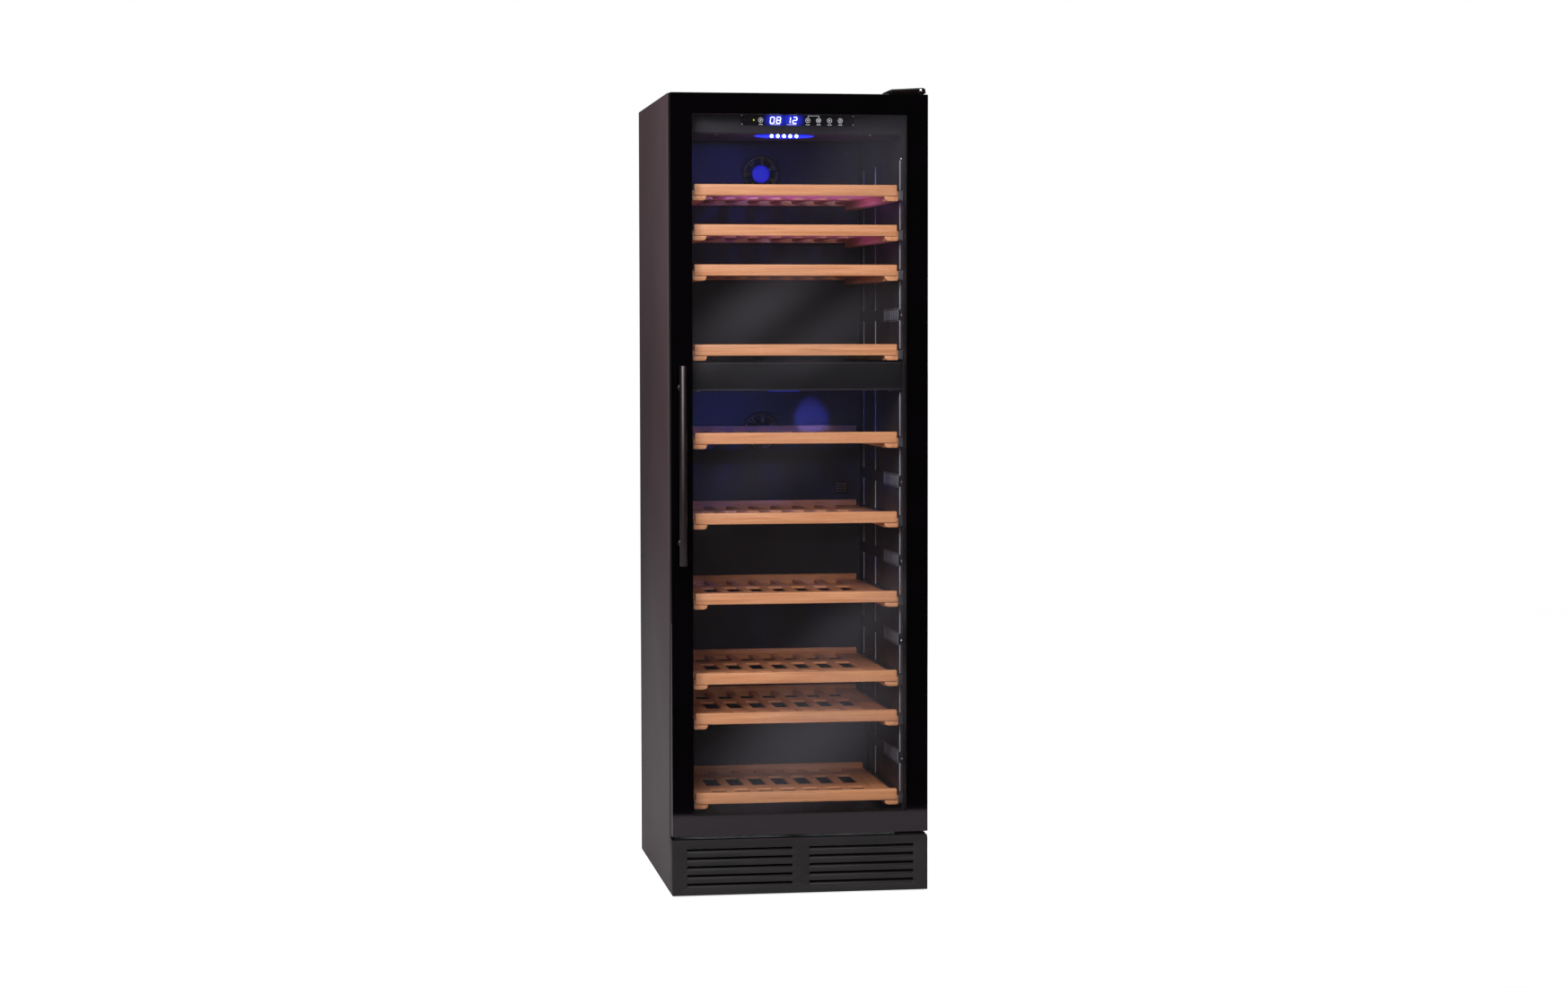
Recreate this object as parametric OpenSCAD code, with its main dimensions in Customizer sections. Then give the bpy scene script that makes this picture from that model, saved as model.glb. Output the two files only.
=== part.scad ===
// Tall free-standing wine cooler: two cooled zones behind one glass door, ten sliding beech shelves.
// The origin is on the floor under the middle of the whole object; +Y runs to the back, +Z up.

/* [Cabinet] */
// Width over the side panels
body_w = 595; // [490:1:720]
// Height of the cabinet top above the floor
body_h = 1840; // [1530:1:2250]
// Depth from the door's front face to the rear panel
body_d = 680; // [560:1:820]
// Thickness of the painted sheet steel
sheet_t = 1; // [0.6:0.1:1.5]
// Side wall, from the outside to the liner's inner face
wall_t = 47.5; // [38:0.5:60]
// Top wall, from the outside to the liner's ceiling
roof_t = 42; // [34:1:60]
// Rear wall, from the outside to the liner's back face
back_t = 55; // [48:1:70]
// Height of the liner's floor above the ground
floor_z = 176; // [170:1:210]
// Clearance of the side panels above the ground
ground_gap = 4; // [2:1:10]

/* [Door] */
// Door thickness without its gasket
door_t = 42; // [36:1:55]
// Space between the door and the cabinet, filled by the gasket
door_gap = 12; // [8:1:16]
// Height of the door's lower edge
door_z = 140; // [138:1:160]
// Gap between the door's upper edge and the top hinge plate
door_top_gap = 2; // [1:0.5:4]
// Thickness of the outer glass
glass_t = 5; // [4:0.5:6]
// Gas space between the two panes
cavity_t = 12; // [8:1:14]
// Thickness of the inner pane
pane_t = 4; // [3:0.5:5]
// Distance of the hinge axis from the door's right edge
hinge_inset = 17; // [14:0.5:22]
// Diameter of the hinge pins
hinge_pin_d = 8; // [6:1:10]

/* [Handle] */
// Length of the bar
handle_len = 454; // [300:1:700]
// Diameter of the bar
handle_d = 17; // [14:0.5:24]
// How far the bar stands in front of the glass
handle_proud = 45; // [36:1:60]
// Height of the bar's lower end
handle_z = 765; // [500:1:800]
// Distance of the bar's axis from the door's left edge
handle_inset = 23.5; // [18:0.5:30]
// Distance of each post from the bar's end
post_inset = 50; // [30:1:90]
// Diameter of the posts
post_d = 12; // [10:0.5:14]

/* [Interior] */
// Thickness of the moulded liner's side walls
liner_t = 8; // [7:0.5:10]
// Height of the upper zone, from the divider to the control housing
upper_zone_h = 524.5; // [440:0.5:640]
// Thickness of the divider between the zones
divider_t = 65; // [40:1:90]
// Distance from the liner's back face to the front of the compressor step
step_d = 90; // [70:1:110]
// Height of the compressor step above the liner's floor
step_h = 154; // [140:1:180]
// Height of the control housing under the ceiling
housing_h = 48; // [40:1:60]
// Depth of the control housing
housing_d = 258; // [120:1:320]
// Width of the touch panel
panel_w = 264; // [160:1:300]
// Height of the touch panel
panel_h = 27; // [20:1:34]

/* [Shelves] */
// Height of a shelf's front rail
rail_h = 26; // [20:1:34]
// Thickness of a shelf's front rail
rail_t = 18; // [14:1:24]
// Gap between the end of a front rail and the liner's side wall
rail_side_gap = 14; // [12:1:20]
// Gap between the cabinet's front edge and the shelves
shelf_setback = 3; // [2:1:12]
// Thickness of the slatted deck
deck_t = 6; // [5:1:12]
// How far the deck lies below the top of the front rail
deck_drop = 14; // [8:1:14]
// Width of the deck's front-to-back members
member_w = 20; // [14:1:26]
// Spacing of the deck's front-to-back members
member_pitch = 55; // [45:1:70]
// Width of the deck's cross slats
slat_w = 55; // [40:1:70]
// Width of a slide rail across the cabinet
slide_w = 11; // [9:0.5:12]
// Height of a slide rail
slide_h = 22; // [16:1:24]

/* [Plinth] */
// Gap between the plinth's upper edge and the bottom hinge bracket
plinth_gap = 0.5; // [0.3:0.1:3]
// Thickness of the plinth moulding
plinth_t = 3; // [2:0.5:5]
// Height of one air slot
slot_h = 10; // [6:0.5:12]
// Spacing of the air slots
slot_pitch = 20; // [16:0.5:22]
// Distance from the plinth's end to its slots
slot_end = 34; // [28:1:60]
// Half of the closed stretch between the two groups of slots
slot_mid = 20; // [12:1:60]

/* [Cooling] */
// Diameter of the two interior fan openings
fan_d = 86; // [60:1:100]
// Diameter of the condenser fan
cond_fan_d = 92; // [70:1:100]
// Width of the compressor from front to back
comp_w = 100; // [80:1:104]
// Length of the compressor
comp_len = 170; // [140:1:220]
// Height of the compressor
comp_h = 135; // [110:1:140]

/* [Clearances] */
// Gap between a slide's moving and fixed members
slide_clear = 0.5; // [0.3:0.1:1]
// Gap between a pin and its bush, on the radius
pin_clear = 0.05; // [0.03:0.01:0.1]
// Glue line between neighbouring pieces of one kind
seam = 0.1; // [0.05:0.05:0.3]

/* [Hidden] */
$fn = 48;

// The zones hold their shelves at numbered slots, counted down from the top of each zone
UPPER_SLOTS = [0, 1, 2, 4];
LOWER_SLOTS = [0, 2, 4, 6, 7, 9];
UPPER_LAST = 4;
LOWER_LAST = 9;
SHELF_COUNT = len(UPPER_SLOTS) + len(LOWER_SLOTS);

// Places across the cabinet
half_w = body_w / 2;
in_x = half_w - wall_t;
shell_x = half_w - sheet_t;
foam_x = in_x + liner_t;

// Places along the depth, counted from the door's front face
cab_y = door_t + door_gap;
frame_t = 2;
liner_y = cab_y + frame_t;
rear_in = body_d - sheet_t;
back_y = body_d - back_t;
skin_t = 2;
foam_back_y = back_y + 2 * skin_t;
step_y = back_y - step_d;
foam_t = 30;
bay_y = step_y + skin_t + foam_t;
front_y = handle_proud - (handle_proud + body_d) / 2;

// Places along the height
roof_z = body_h - sheet_t;
ceil_z = body_h - roof_t;
door_top = body_h - door_top_gap;
base_z = 16;
tray_t = 2;
beam_h = 40;
foam_z = door_z - 4;
bracket_t = 3.5;
plinth_top = foam_z - bracket_t - plinth_gap;
liner_z = floor_z - liner_t;
step_z = floor_z + step_h;
bay_top = step_z - skin_t - foam_t;
housing_z = ceil_z - housing_h;
divider_top = housing_z - upper_zone_h;
divider_z = divider_top - divider_t;
divider_y = cab_y + 16;
housing_y = cab_y + 18;

// Shelf positions
SHELF_BELOW_HOUSING = 116;
SHELF_ABOVE_DIVIDER = 41.5;
SHELF_BELOW_DIVIDER = 96.5;
SHELF_ABOVE_FLOOR = 55.5;
upper_first = housing_z - SHELF_BELOW_HOUSING;
upper_pitch = (upper_first - divider_top - SHELF_ABOVE_DIVIDER) / UPPER_LAST;
lower_first = divider_z - SHELF_BELOW_DIVIDER;
lower_pitch = (lower_first - floor_z - SHELF_ABOVE_FLOOR) / LOWER_LAST;
upper_levels = [for (slot = [0:UPPER_LAST]) upper_first - slot * upper_pitch];
lower_levels = [for (slot = [0:LOWER_LAST]) lower_first - slot * lower_pitch];
slot_levels = concat(upper_levels, lower_levels);
shelf_tops = concat(
    [for (slot = UPPER_SLOTS) upper_levels[slot]],
    [for (slot = LOWER_SLOTS) lower_levels[slot]]
);
shelf_y = cab_y + shelf_setback;
rail_x = in_x - rail_side_gap;
runner_x = in_x - slide_w;
runner_w = 32;
runner_drop = 11;
back_rail_t = 14;
shelf_back_gap = 11;
rail_flange = 1.2;
slide_z = -deck_drop - slide_h / 2 + 1;

// Fans sit in pockets behind the liner
FAN_BELOW_HOUSING = 63;
FAN_BELOW_DIVIDER = 110.5;
fan_levels = [housing_z - FAN_BELOW_HOUSING, divider_z - FAN_BELOW_DIVIDER];
fan_r = fan_d / 2;
pocket_half = fan_r + 7;
pocket_d = 32;
fan_pin_r = 2;
fan_blades = 7;
grille_t = 3;
LOUVRE_BELOW_FAN = 141;
louvre_w = 36;
louvre_h = 29;
louvre_x = in_x - 49;
louvre_z = fan_levels[1] - LOUVRE_BELOW_FAN;

// Hinges
hinge_x = half_w - hinge_inset;
hinge_y = door_t / 2;
pin_r = hinge_pin_d / 2;
bush_r = pin_r + 2;
bush_len = 16;
plate_t = 3;

// Handle
handle_x = handle_inset - half_w;
bar_r = handle_d / 2;
bar_y = bar_r - handle_proud;
post_levels = [handle_z + post_inset, handle_z + handle_len - post_inset];
seat_depth = 4;
screw_r = 2.5;
screw_head_r = 5;
screw_head_t = 4;

// Door frame: an outer bar holds the glass pack, an inner lip covers the pane's edge
lip_w = 12.5;
bar_w = wall_t - lip_w;
pack_y = glass_t + cavity_t + pane_t;
gasket_w = 20;
gasket_side = wall_t - gasket_w - 6;
gasket_end = 10;

// Levelling feet
foot_x = half_w - 57.5;
foot_y = cab_y + 46;
stem_r = 5;
pad_r = 20;

// Machine compartment
cond_w = 150;
cond_h = 108;
cond_x = [10 - foot_x, 10 - foot_x + cond_w];
cond_y = [cab_y + 26, cab_y + 76];
cond_fan_x = (cond_x[0] + cond_x[1]) / 2;
cond_fan_y = cond_y[1] + 10;
cond_fan_z = base_z + cond_h / 2;
cond_fan_t = 25;
comp_x = 40;
comp_y = (bay_y + rear_in) / 2;
grommet_r = 9;
grommet_h = 12;
foot_plate_t = 6;
comp_z = base_z + grommet_h + foot_plate_t;
pipe_r = 3;
control_box_size = [120, 34, 140];
inlet_x = 107.5 - half_w;
inlet_w = 48;
inlet_z = [44, 72];
inlet_depth = 26;
inlet_wall = 6;

// A box between its lowest and highest corners
module block(low, high) translate(low) cube(high - low);

// Moves what is placed from the door's front face into the object's own frame
module placed() translate([0, front_y, 0]) children();

// A piece on the right and its mirror image on the left
module pair() {
    children();
    mirror([1, 0, 0]) children();
}

// A cylinder along Y, starting at y and running towards the back
module rod_y(x, y, z, r, len) translate([x, y + len, z]) rotate([90, 0, 0]) cylinder(r = r, h = len);

// A rectangular ring in the XZ plane made of four bars, with seams at its corners
module ring_bars(x, z0, z1, w_side, w_end, y0, y1) {
    pair() block([x - w_side, y0, z0], [x, y1, z1]);
    for (z = [z0, z1 - w_end])
        block([seam + w_side - x, y0, z], [x - w_side - seam, y1, z + w_end]);
}

/* ---- casing ---- */

module side_panel() placed()
    block([shell_x, cab_y, ground_gap], [half_w, body_d, roof_z]);

module side_panel_left() color("#4a3f42") mirror([1, 0, 0]) side_panel();

module side_panel_right() color("#4a3f42") side_panel();

module top_panel() color("#4a3f42") placed()
    block([-half_w, cab_y, roof_z], [half_w, body_d, body_h]);

module rear_panel() color("#3c3638") placed()
    block([-shell_x, rear_in, bay_top + skin_t], [shell_x, body_d, roof_z]);

// Lower rear cover with rows of air slots, cut out around the mains inlet
module compressor_cover() color("#3a3a3c") placed() difference() {
    block([-shell_x, rear_in, base_z + skin_t], [shell_x, body_d, bay_top]);
    for (row = [0:5], col = [-2:2])
        translate([col * 90 + 15, body_d, base_z + 90 + row * 24])
            cube([60, 4 * sheet_t, 8], center = true);
    inlet_body(0.5);
}

// Floor tray, front beam with its posts, side rails and the two rear skids
module base_frame() color("#55565a") placed() {
    difference() {
        union() {
            block([-shell_x, cab_y, base_z - tray_t], [shell_x, rear_in, base_z]);
            pair() translate([foot_x, foot_y, base_z - 10]) cylinder(r = 12, h = 10 - tray_t - seam);
        }
        pair() translate([foot_x, foot_y, 0]) cylinder(r = stem_r + pin_clear, h = 2 * base_z);
    }
    block([-shell_x, cab_y, foam_z - beam_h], [shell_x, cab_y + 3, foam_z - seam]);
    pair() {
        block([shell_x - 20, cab_y, base_z + seam], [shell_x, cab_y + 3, foam_z - beam_h - seam]);
        block([shell_x - 2, cab_y + 3 + seam, base_z + seam], [shell_x, rear_in, foam_z - seam]);
        block([half_w - 97.5, body_d - 80, 0], [half_w - 37.5, body_d - 20, base_z - tray_t - seam]);
    }
}

// Steel sealing face around the opening, where the gasket lands
module front_frame() color("#2c2a2b") placed() {
    pair() block([in_x, cab_y, foam_z], [shell_x, liner_y, roof_z]);
    block([seam - in_x, cab_y, foam_z], [in_x - seam, liner_y, floor_z]);
    block([seam - in_x, cab_y, ceil_z], [in_x - seam, liner_y, roof_z]);
}

/* ---- insulated interior ---- */

// Moulded liner with the compressor step, shelf channels and fan openings
module inner_liner() color("#3a3a3c") placed() difference() {
    union() {
        block([-foam_x, liner_y, liner_z], [foam_x, step_y + skin_t, ceil_z + liner_t]);
        block([-foam_x, step_y, step_z - skin_t], [foam_x, back_y + skin_t, ceil_z + liner_t]);
    }
    block([-in_x, liner_y - 1, floor_z], [in_x, step_y, ceil_z]);
    block([-in_x, step_y - 1, step_z], [in_x, back_y, ceil_z]);
    for (z = slot_levels)
        pair() block([in_x - 1, cab_y + 10, z - 31], [in_x + 4, step_y, z - 17]);
    for (z = fan_levels)
        rod_y(0, back_y - 1, z, fan_r, skin_t + 2);
}

// One horizontal band of the rear foam, open for a fan pocket when asked
module rear_foam_band(z0, z1, pocket) {
    if (pocket) {
        pair() block([pocket_half, foam_back_y, z0], [foam_x, rear_in, z1]);
        block([seam - pocket_half, foam_back_y + pocket_d, z0], [pocket_half - seam, rear_in, z1]);
    } else
        block([-foam_x, foam_back_y, z0], [foam_x, rear_in, z1]);
}

module insulation() color("#e8d9a8") placed() {
    upper = fan_levels[0];
    lower = fan_levels[1];
    pair() block([foam_x + seam, liner_y, foam_z], [shell_x, rear_in, ceil_z + liner_t - seam]);
    block([-shell_x, liner_y, ceil_z + liner_t], [shell_x, rear_in, roof_z]);
    block([-foam_x, liner_y, foam_z], [foam_x, bay_y, liner_z]);
    block([-foam_x, step_y + skin_t, liner_z + seam], [foam_x, bay_y, bay_top - seam]);
    block([-foam_x, step_y + skin_t, bay_top], [foam_x, rear_in, step_z - skin_t]);
    rear_foam_band(step_z - skin_t + seam, lower - pocket_half - seam, false);
    rear_foam_band(lower - pocket_half, lower + pocket_half, true);
    rear_foam_band(lower + pocket_half + seam, upper - pocket_half - seam, false);
    rear_foam_band(upper - pocket_half, upper + pocket_half, true);
    rear_foam_band(upper + pocket_half + seam, ceil_z + liner_t - seam, false);
}

module zone_divider() color("#343436") placed()
    block([-in_x, divider_y, divider_z], [in_x, back_y, divider_top]);

// Hollow housing under the ceiling, open towards it
module control_housing() color("#343436") placed() difference() {
    block([-in_x, housing_y, housing_z], [in_x, housing_y + housing_d, ceil_z]);
    block([3 - in_x, housing_y + 3, housing_z + 3], [in_x - 3, housing_y + housing_d - 3, ceil_z + 1]);
}

module touch_panel() color("#0a0a0c") placed()
    block([6 - panel_w / 2, housing_y - 1.5, ceil_z - 2 - panel_h], [6 + panel_w / 2, housing_y, ceil_z - 2]);

// One lamp under the control housing and one under the divider
module light_strips() color("#2a36ff") placed()
    for (z = [housing_z, divider_z])
        block([-60, housing_y + 12, z - 3], [12, housing_y + 20, z]);

// Round guard made of rings and spokes, with its face towards the door
module fan_grille(z) translate([0, back_y, z]) rotate([90, 0, 0]) {
    difference() {
        cylinder(r = fan_r + 6, h = grille_t);
        translate([0, 0, -1]) cylinder(r = fan_r - 1, h = grille_t + 2);
    }
    for (r = [fan_r * 0.42, fan_r * 0.7]) difference() {
        cylinder(r = r + 2, h = grille_t);
        translate([0, 0, -1]) cylinder(r = r - 1, h = grille_t + 2);
    }
    for (spoke = [0:7])
        rotate(spoke * 45) translate([fan_r * 0.42, -1, 0]) cube([fan_r * 0.58 + 1, 2, grille_t]);
}

module air_grilles() color("#2a2a2c") placed() {
    for (z = fan_levels)
        fan_grille(z);
    translate([louvre_x, back_y - grille_t, louvre_z]) difference() {
        block([-louvre_w / 2, 0, -louvre_h / 2], [louvre_w / 2, grille_t, louvre_h / 2]);
        for (row = [-1:1])
            translate([0, 0, row * 8]) cube([louvre_w - 8, 4 * grille_t, 4], center = true);
    }
}

// One pressed evaporator plate behind the liner of each zone
module evaporator_plate(z0, z1) {
    plate_x = in_x - 50;
    plate_y = back_y + skin_t + 1.2;
    runs = floor((z1 - z0) / 50);
    block([-plate_x, back_y + skin_t, z0], [plate_x, plate_y, z1]);
    for (run = [1:runs - 1])
        block([15 - plate_x, plate_y, z0 + run * 50], [plate_x - 15, foam_back_y, z0 + run * 50 + 8]);
}

module evaporators() color("silver") placed() {
    evaporator_plate(divider_top + 25, fan_levels[0] - pocket_half - 15);
    evaporator_plate(step_z + 90, fan_levels[1] - pocket_half - 15);
}

/* ---- fans ---- */

// Bladed rotor on a bored hub, its axis along local Z
module rotor(r_tip, r_hub, depth, blades) {
    difference() {
        cylinder(r = r_hub, h = depth);
        translate([0, 0, -1]) cylinder(r = fan_pin_r + pin_clear, h = depth + 2);
    }
    for (blade = [0:blades - 1])
        rotate(blade * 360 / blades) translate([(r_tip + r_hub) / 2 - 1, 0, depth / 2])
            rotate([32, 0, 0]) cube([r_tip - r_hub - 1, depth * 1.3, 1.6], center = true);
}

module fan_rotor(z) placed()
    translate([0, foam_back_y + 18, z]) rotate([90, 0, 0]) rotor(fan_r - 4, 15, 16, fan_blades);

module upper_fan_rotor() color("#1c1c1e") fan_rotor(fan_levels[0]);

module lower_fan_rotor() color("#1c1c1e") fan_rotor(fan_levels[1]);

// Motor can on the pocket's rear face with its shaft pointing forwards
module fan_motors() color("#6b6d70") placed()
    for (z = fan_levels) {
        rod_y(0, foam_back_y + 20, z, 17, pocket_d - 20);
        rod_y(0, foam_back_y + 4, z, fan_pin_r, 17);
    }

/* ---- cooling machine ---- */

// Rounded-end outline of the compressor pot
module pot(r, h) linear_extrude(h) {
    for (side = [-1, 1])
        translate([side * (comp_len - comp_w) / 2, 0]) circle(r = r);
    square([comp_len - comp_w, 2 * r], center = true);
}

module compressor() color("#1a1a1c") placed() translate([comp_x, comp_y, 0]) {
    translate([0, 0, comp_z]) pot(comp_w / 2, comp_h - 25);
    translate([0, 0, comp_z + comp_h - 25]) pot(comp_w / 2 - 9, 13);
    block([-comp_len / 2 - 10, -38, comp_z - foot_plate_t], [comp_len / 2 + 10, 38, comp_z]);
    for (x = [-1, 1], y = [-26, 26])
        translate([x * comp_len / 2, y, base_z]) cylinder(r = grommet_r, h = grommet_h);
    block([comp_len / 2 - 4, -22, comp_z + 30], [comp_len / 2 + 22, 22, comp_z + 80]);
}

// Fins on four straight tubes between two end plates
module condenser() color("#b9bcc0") placed() {
    for (x = [cond_x[0], cond_x[1] - 1.5])
        block([x, cond_y[0], base_z], [x + 1.5, cond_y[1], base_z + cond_h]);
    for (x = [cond_x[0] + 8:8:cond_x[1] - 8])
        block([x, cond_y[0] + 2, base_z + 2], [x + 0.8, cond_y[1] - 2, base_z + cond_h - 2]);
    for (row = [0:3])
        translate([cond_x[0], (cond_y[0] + cond_y[1]) / 2, base_z + cond_h * (row + 0.5) / 4])
            rotate([0, 90, 0]) cylinder(r = 4, h = cond_x[1] - cond_x[0]);
}

// Square housing with its motor carried by three struts
module condenser_fan_frame() color("#1c1c1e") placed() {
    y_back = cond_fan_y + cond_fan_t;
    half = cond_h / 2;
    difference() {
        translate([cond_fan_x, cond_fan_y, cond_fan_z])
            block([-half, 0, -half], [half, cond_fan_t, half]);
        rod_y(cond_fan_x, cond_fan_y - 1, cond_fan_z, cond_fan_d / 2 + 3, cond_fan_t + 2);
    }
    rod_y(cond_fan_x, y_back - 7, cond_fan_z, 18, 7);
    rod_y(cond_fan_x, cond_fan_y + 3, cond_fan_z, fan_pin_r, 16);
    for (strut = [0:2])
        translate([cond_fan_x, y_back - 3, cond_fan_z]) rotate([0, strut * 120, 0])
            block([16, 0, -2], [cond_fan_d / 2 + 4, 3, 2]);
}

module condenser_fan_rotor() color("#2a2a2c") placed()
    translate([cond_fan_x, cond_fan_y + 16, cond_fan_z]) rotate([90, 0, 0])
        rotor(cond_fan_d / 2 - 1, 17, 14, 5);

// Round tube through a list of corners, with ball joints at the bends
module tube(points, r) {
    for (i = [0:len(points) - 2]) {
        run = points[i + 1] - points[i];
        translate(points[i])
            rotate([0, acos(run[2] / norm(run)), atan2(run[1], run[0])]) cylinder(r = r, h = norm(run));
    }
    for (i = [1:len(points) - 2])
        translate(points[i]) sphere(r = r);
}

// Discharge line, return line with its filter drier, and the suction line into the foam
module refrigerant_pipes() color("#b5713c") placed() {
    hot_x = comp_x - 20;
    hot_y = cond_y[0] + 20;
    hot_z = 60;
    tube([[hot_x, comp_y - comp_w / 2, hot_z], [hot_x, hot_y, hot_z], [cond_x[1], hot_y, hot_z]], pipe_r);
    drier_x = cond_x[1] + 15;
    drier_y = bay_y + 20;
    drier_z = [50, 130];
    cold_y = cond_y[1] - 15;
    cold_z = 30;
    tube([[cond_x[1], cold_y, cold_z], [drier_x, cold_y, cold_z], [drier_x, drier_y, cold_z],
          [drier_x, drier_y, drier_z[0]]], pipe_r);
    translate([drier_x, drier_y, drier_z[0]]) cylinder(r = 9, h = drier_z[1] - drier_z[0]);
    translate([drier_x, drier_y, drier_z[1]]) cylinder(r = 1.5, h = bay_top - drier_z[1]);
    cover_x = comp_x + comp_len / 2 + 22;
    suction_z = 90;
    tube([[cover_x, comp_y, suction_z], [cover_x + 18, comp_y, suction_z], [cover_x + 18, comp_y, bay_top]],
         pipe_r + 1);
}

// Evaporation tray lying on top of the compressor
module drain_tray() color("#202022") placed() {
    z = comp_z + comp_h - 12;
    half = comp_len / 2 + 10;
    difference() {
        block([comp_x - half, bay_y + 6, z], [comp_x + half, rear_in - 6, z + 20]);
        block([comp_x - half + 2, bay_y + 8, z + 2], [comp_x + half - 2, rear_in - 8, z + 21]);
    }
}

// Closed box with the power electronics, beside the compressor
module control_box() color("#4c4e52") placed()
    translate([46.5 - shell_x, rear_in - control_box_size[1], 90]) cube(control_box_size);

// Outline of the mains inlet, grown all round by a clearance
module inlet_body(clear)
    block([inlet_x - inlet_w / 2 - clear, body_d - inlet_depth, inlet_z[0] - clear],
          [inlet_x + inlet_w / 2 + clear, body_d + clear, inlet_z[1] + clear]);

// Three-pin mains inlet set flush into the rear cover
module mains_inlet() color("#111113") placed() difference() {
    inlet_body(0);
    block([inlet_x - inlet_w / 2 + inlet_wall, body_d - inlet_depth + 10, inlet_z[0] + inlet_wall],
          [inlet_x + inlet_w / 2 - inlet_wall, body_d + 1, inlet_z[1] - inlet_wall]);
}

/* ---- plinth and feet ---- */

// Front moulding with two groups of air slots and two cheeks that reach the base frame
module plinth_grille() color("#2a2729") placed() {
    slots = floor((plinth_top - ground_gap - 28) / slot_pitch) - 1;
    difference() {
        block([-half_w, 1, ground_gap], [half_w, 1 + plinth_t, plinth_top]);
        for (row = [0:slots]) {
            z = ground_gap + 18 + row * slot_pitch;
            pair() block([slot_mid, 0, z], [half_w - slot_end, 2 + plinth_t, z + slot_h]);
        }
    }
    pair() block([half_w - 2.5, 1 + plinth_t + seam, ground_gap], [half_w, cab_y, plinth_top]);
    block([3 - half_w, 1 + plinth_t + seam, plinth_top - 2.5], [half_w - 3, 20, plinth_top]);
}

// Levelling foot: a pad on a stem that runs through the base frame's boss
module front_foot() placed() translate([foot_x, foot_y, 0]) {
    cylinder(r = pad_r, h = 5);
    cylinder(r = stem_r, h = base_z + 24);
}

module front_foot_left() color("#1a1a1a") mirror([1, 0, 0]) front_foot();

module front_foot_right() color("#1a1a1a") front_foot();

/* ---- hinges ---- */

// Top plate over the cabinet and bottom angle under the door, each with its pin
module hinge_brackets() color("#77797d") placed() {
    block([hinge_x - 66, 10, body_h], [hinge_x + 10, cab_y + 46, body_h + plate_t]);
    translate([hinge_x, hinge_y, body_h - door_top_gap - bush_len + 1])
        cylinder(r = pin_r, h = door_top_gap + bush_len);
    block([hinge_x - 50, 6, foam_z - bracket_t], [hinge_x + 12, cab_y, foam_z]);
    block([hinge_x - 50, cab_y - bracket_t, foam_z - beam_h], [hinge_x + 12, cab_y, foam_z]);
    translate([hinge_x, hinge_y, foam_z]) cylinder(r = pin_r, h = door_z - foam_z + bush_len - 1);
    translate([hinge_x, hinge_y, foam_z]) cylinder(r = bush_r, h = door_z - foam_z - 0.5);
}

// Sloped cap over the top hinge plate
module hinge_cover() color("#141214") placed() {
    x0 = hinge_x - 69.5;
    x1 = half_w - 4.5;
    difference() {
        translate([0, cab_y + 58, 0]) rotate([90, 0, 0]) linear_extrude(cab_y + 52)
            polygon([[x0, body_h], [x1, body_h], [x1, body_h + 10], [x1 - 5, body_h + 14], [x0, body_h + 6]]);
        block([x0 + 3, 9.5, body_h - 1], [hinge_x + 10.5, cab_y + 46.5, body_h + plate_t + 0.3]);
    }
}

// Nylon bush in each end of the door's hinge side
module hinge_bushes() color("#d8d6d0") placed()
    for (z = [door_z, door_top - bush_len])
        translate([hinge_x, hinge_y, z]) difference() {
            cylinder(r = bush_r, h = bush_len);
            translate([0, 0, -1]) cylinder(r = pin_r + pin_clear, h = bush_len + 2);
        }

/* ---- door ---- */

// Screw hole from the back of the door through to a handle post
module screw_hole(z) {
    rod_y(handle_x, -1, z, screw_r + 0.25, door_t + 2);
    rod_y(handle_x, door_t - screw_head_t, z, screw_head_r + 0.25, screw_head_t + 1);
}

module door_frame() color("#3c393a") placed() {
    lip_x = half_w - bar_w;
    difference() {
        ring_bars(half_w, door_z, door_top, bar_w, bar_w, glass_t, door_t);
        for (z = post_levels)
            screw_hole(z);
        for (z = [door_z - 1, door_top - bush_len])
            translate([hinge_x, hinge_y, z]) cylinder(r = bush_r, h = bush_len + 1);
    }
    difference() {
        ring_bars(lip_x - seam, door_z + bar_w + seam, door_top - bar_w - seam, lip_w - seam, lip_w - seam,
                  pack_y, door_t);
        for (z = post_levels)
            screw_hole(z);
    }
}

module outer_glass() color([0.1, 0.1, 0.12, 0.45]) placed() difference() {
    block([-half_w, 0, door_z], [half_w, glass_t, door_top]);
    for (z = post_levels)
        screw_hole(z);
}

module inner_glass() color([0.6, 0.7, 0.7, 0.3]) placed()
    block([bar_w - half_w, glass_t + cavity_t, door_z + bar_w], [half_w - bar_w, pack_y, door_top - bar_w]);

// Spacer bars between the panes, hidden behind the glass border
module glass_spacer() color("#1e1e20") placed()
    ring_bars(half_w - bar_w - 4, door_z + bar_w + 4, door_top - bar_w - 4, 8, 8,
              glass_t, glass_t + cavity_t);

module door_gasket() color("#1b1b1d") placed()
    ring_bars(half_w - gasket_side, door_z + gasket_end, door_top - gasket_end - 4, gasket_w, gasket_w,
              door_t, cab_y - 0.3);

// Round bar with a blind seat for each post
module handle_bar() color("#4a4546") placed() difference() {
    translate([handle_x, bar_y, handle_z]) cylinder(r = bar_r, h = handle_len);
    for (z = post_levels)
        rod_y(handle_x, bar_y + bar_r - seat_depth, z, post_d / 2, seat_depth + 1);
}

// Two posts and the two screws that hold them from inside the door
module handle_posts() color("#55504f") placed()
    for (z = post_levels) {
        difference() {
            rod_y(handle_x, bar_y + bar_r - seat_depth, z, post_d / 2, seat_depth - bar_y - bar_r);
            rod_y(handle_x, -12, z, screw_r, 13);
        }
        rod_y(handle_x, -12 + seam, z, screw_r - seam, door_t + 12 - screw_head_t);
        rod_y(handle_x, door_t - screw_head_t, z, screw_head_r, screw_head_t);
    }

/* ---- shelves and slides ---- */

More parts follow.
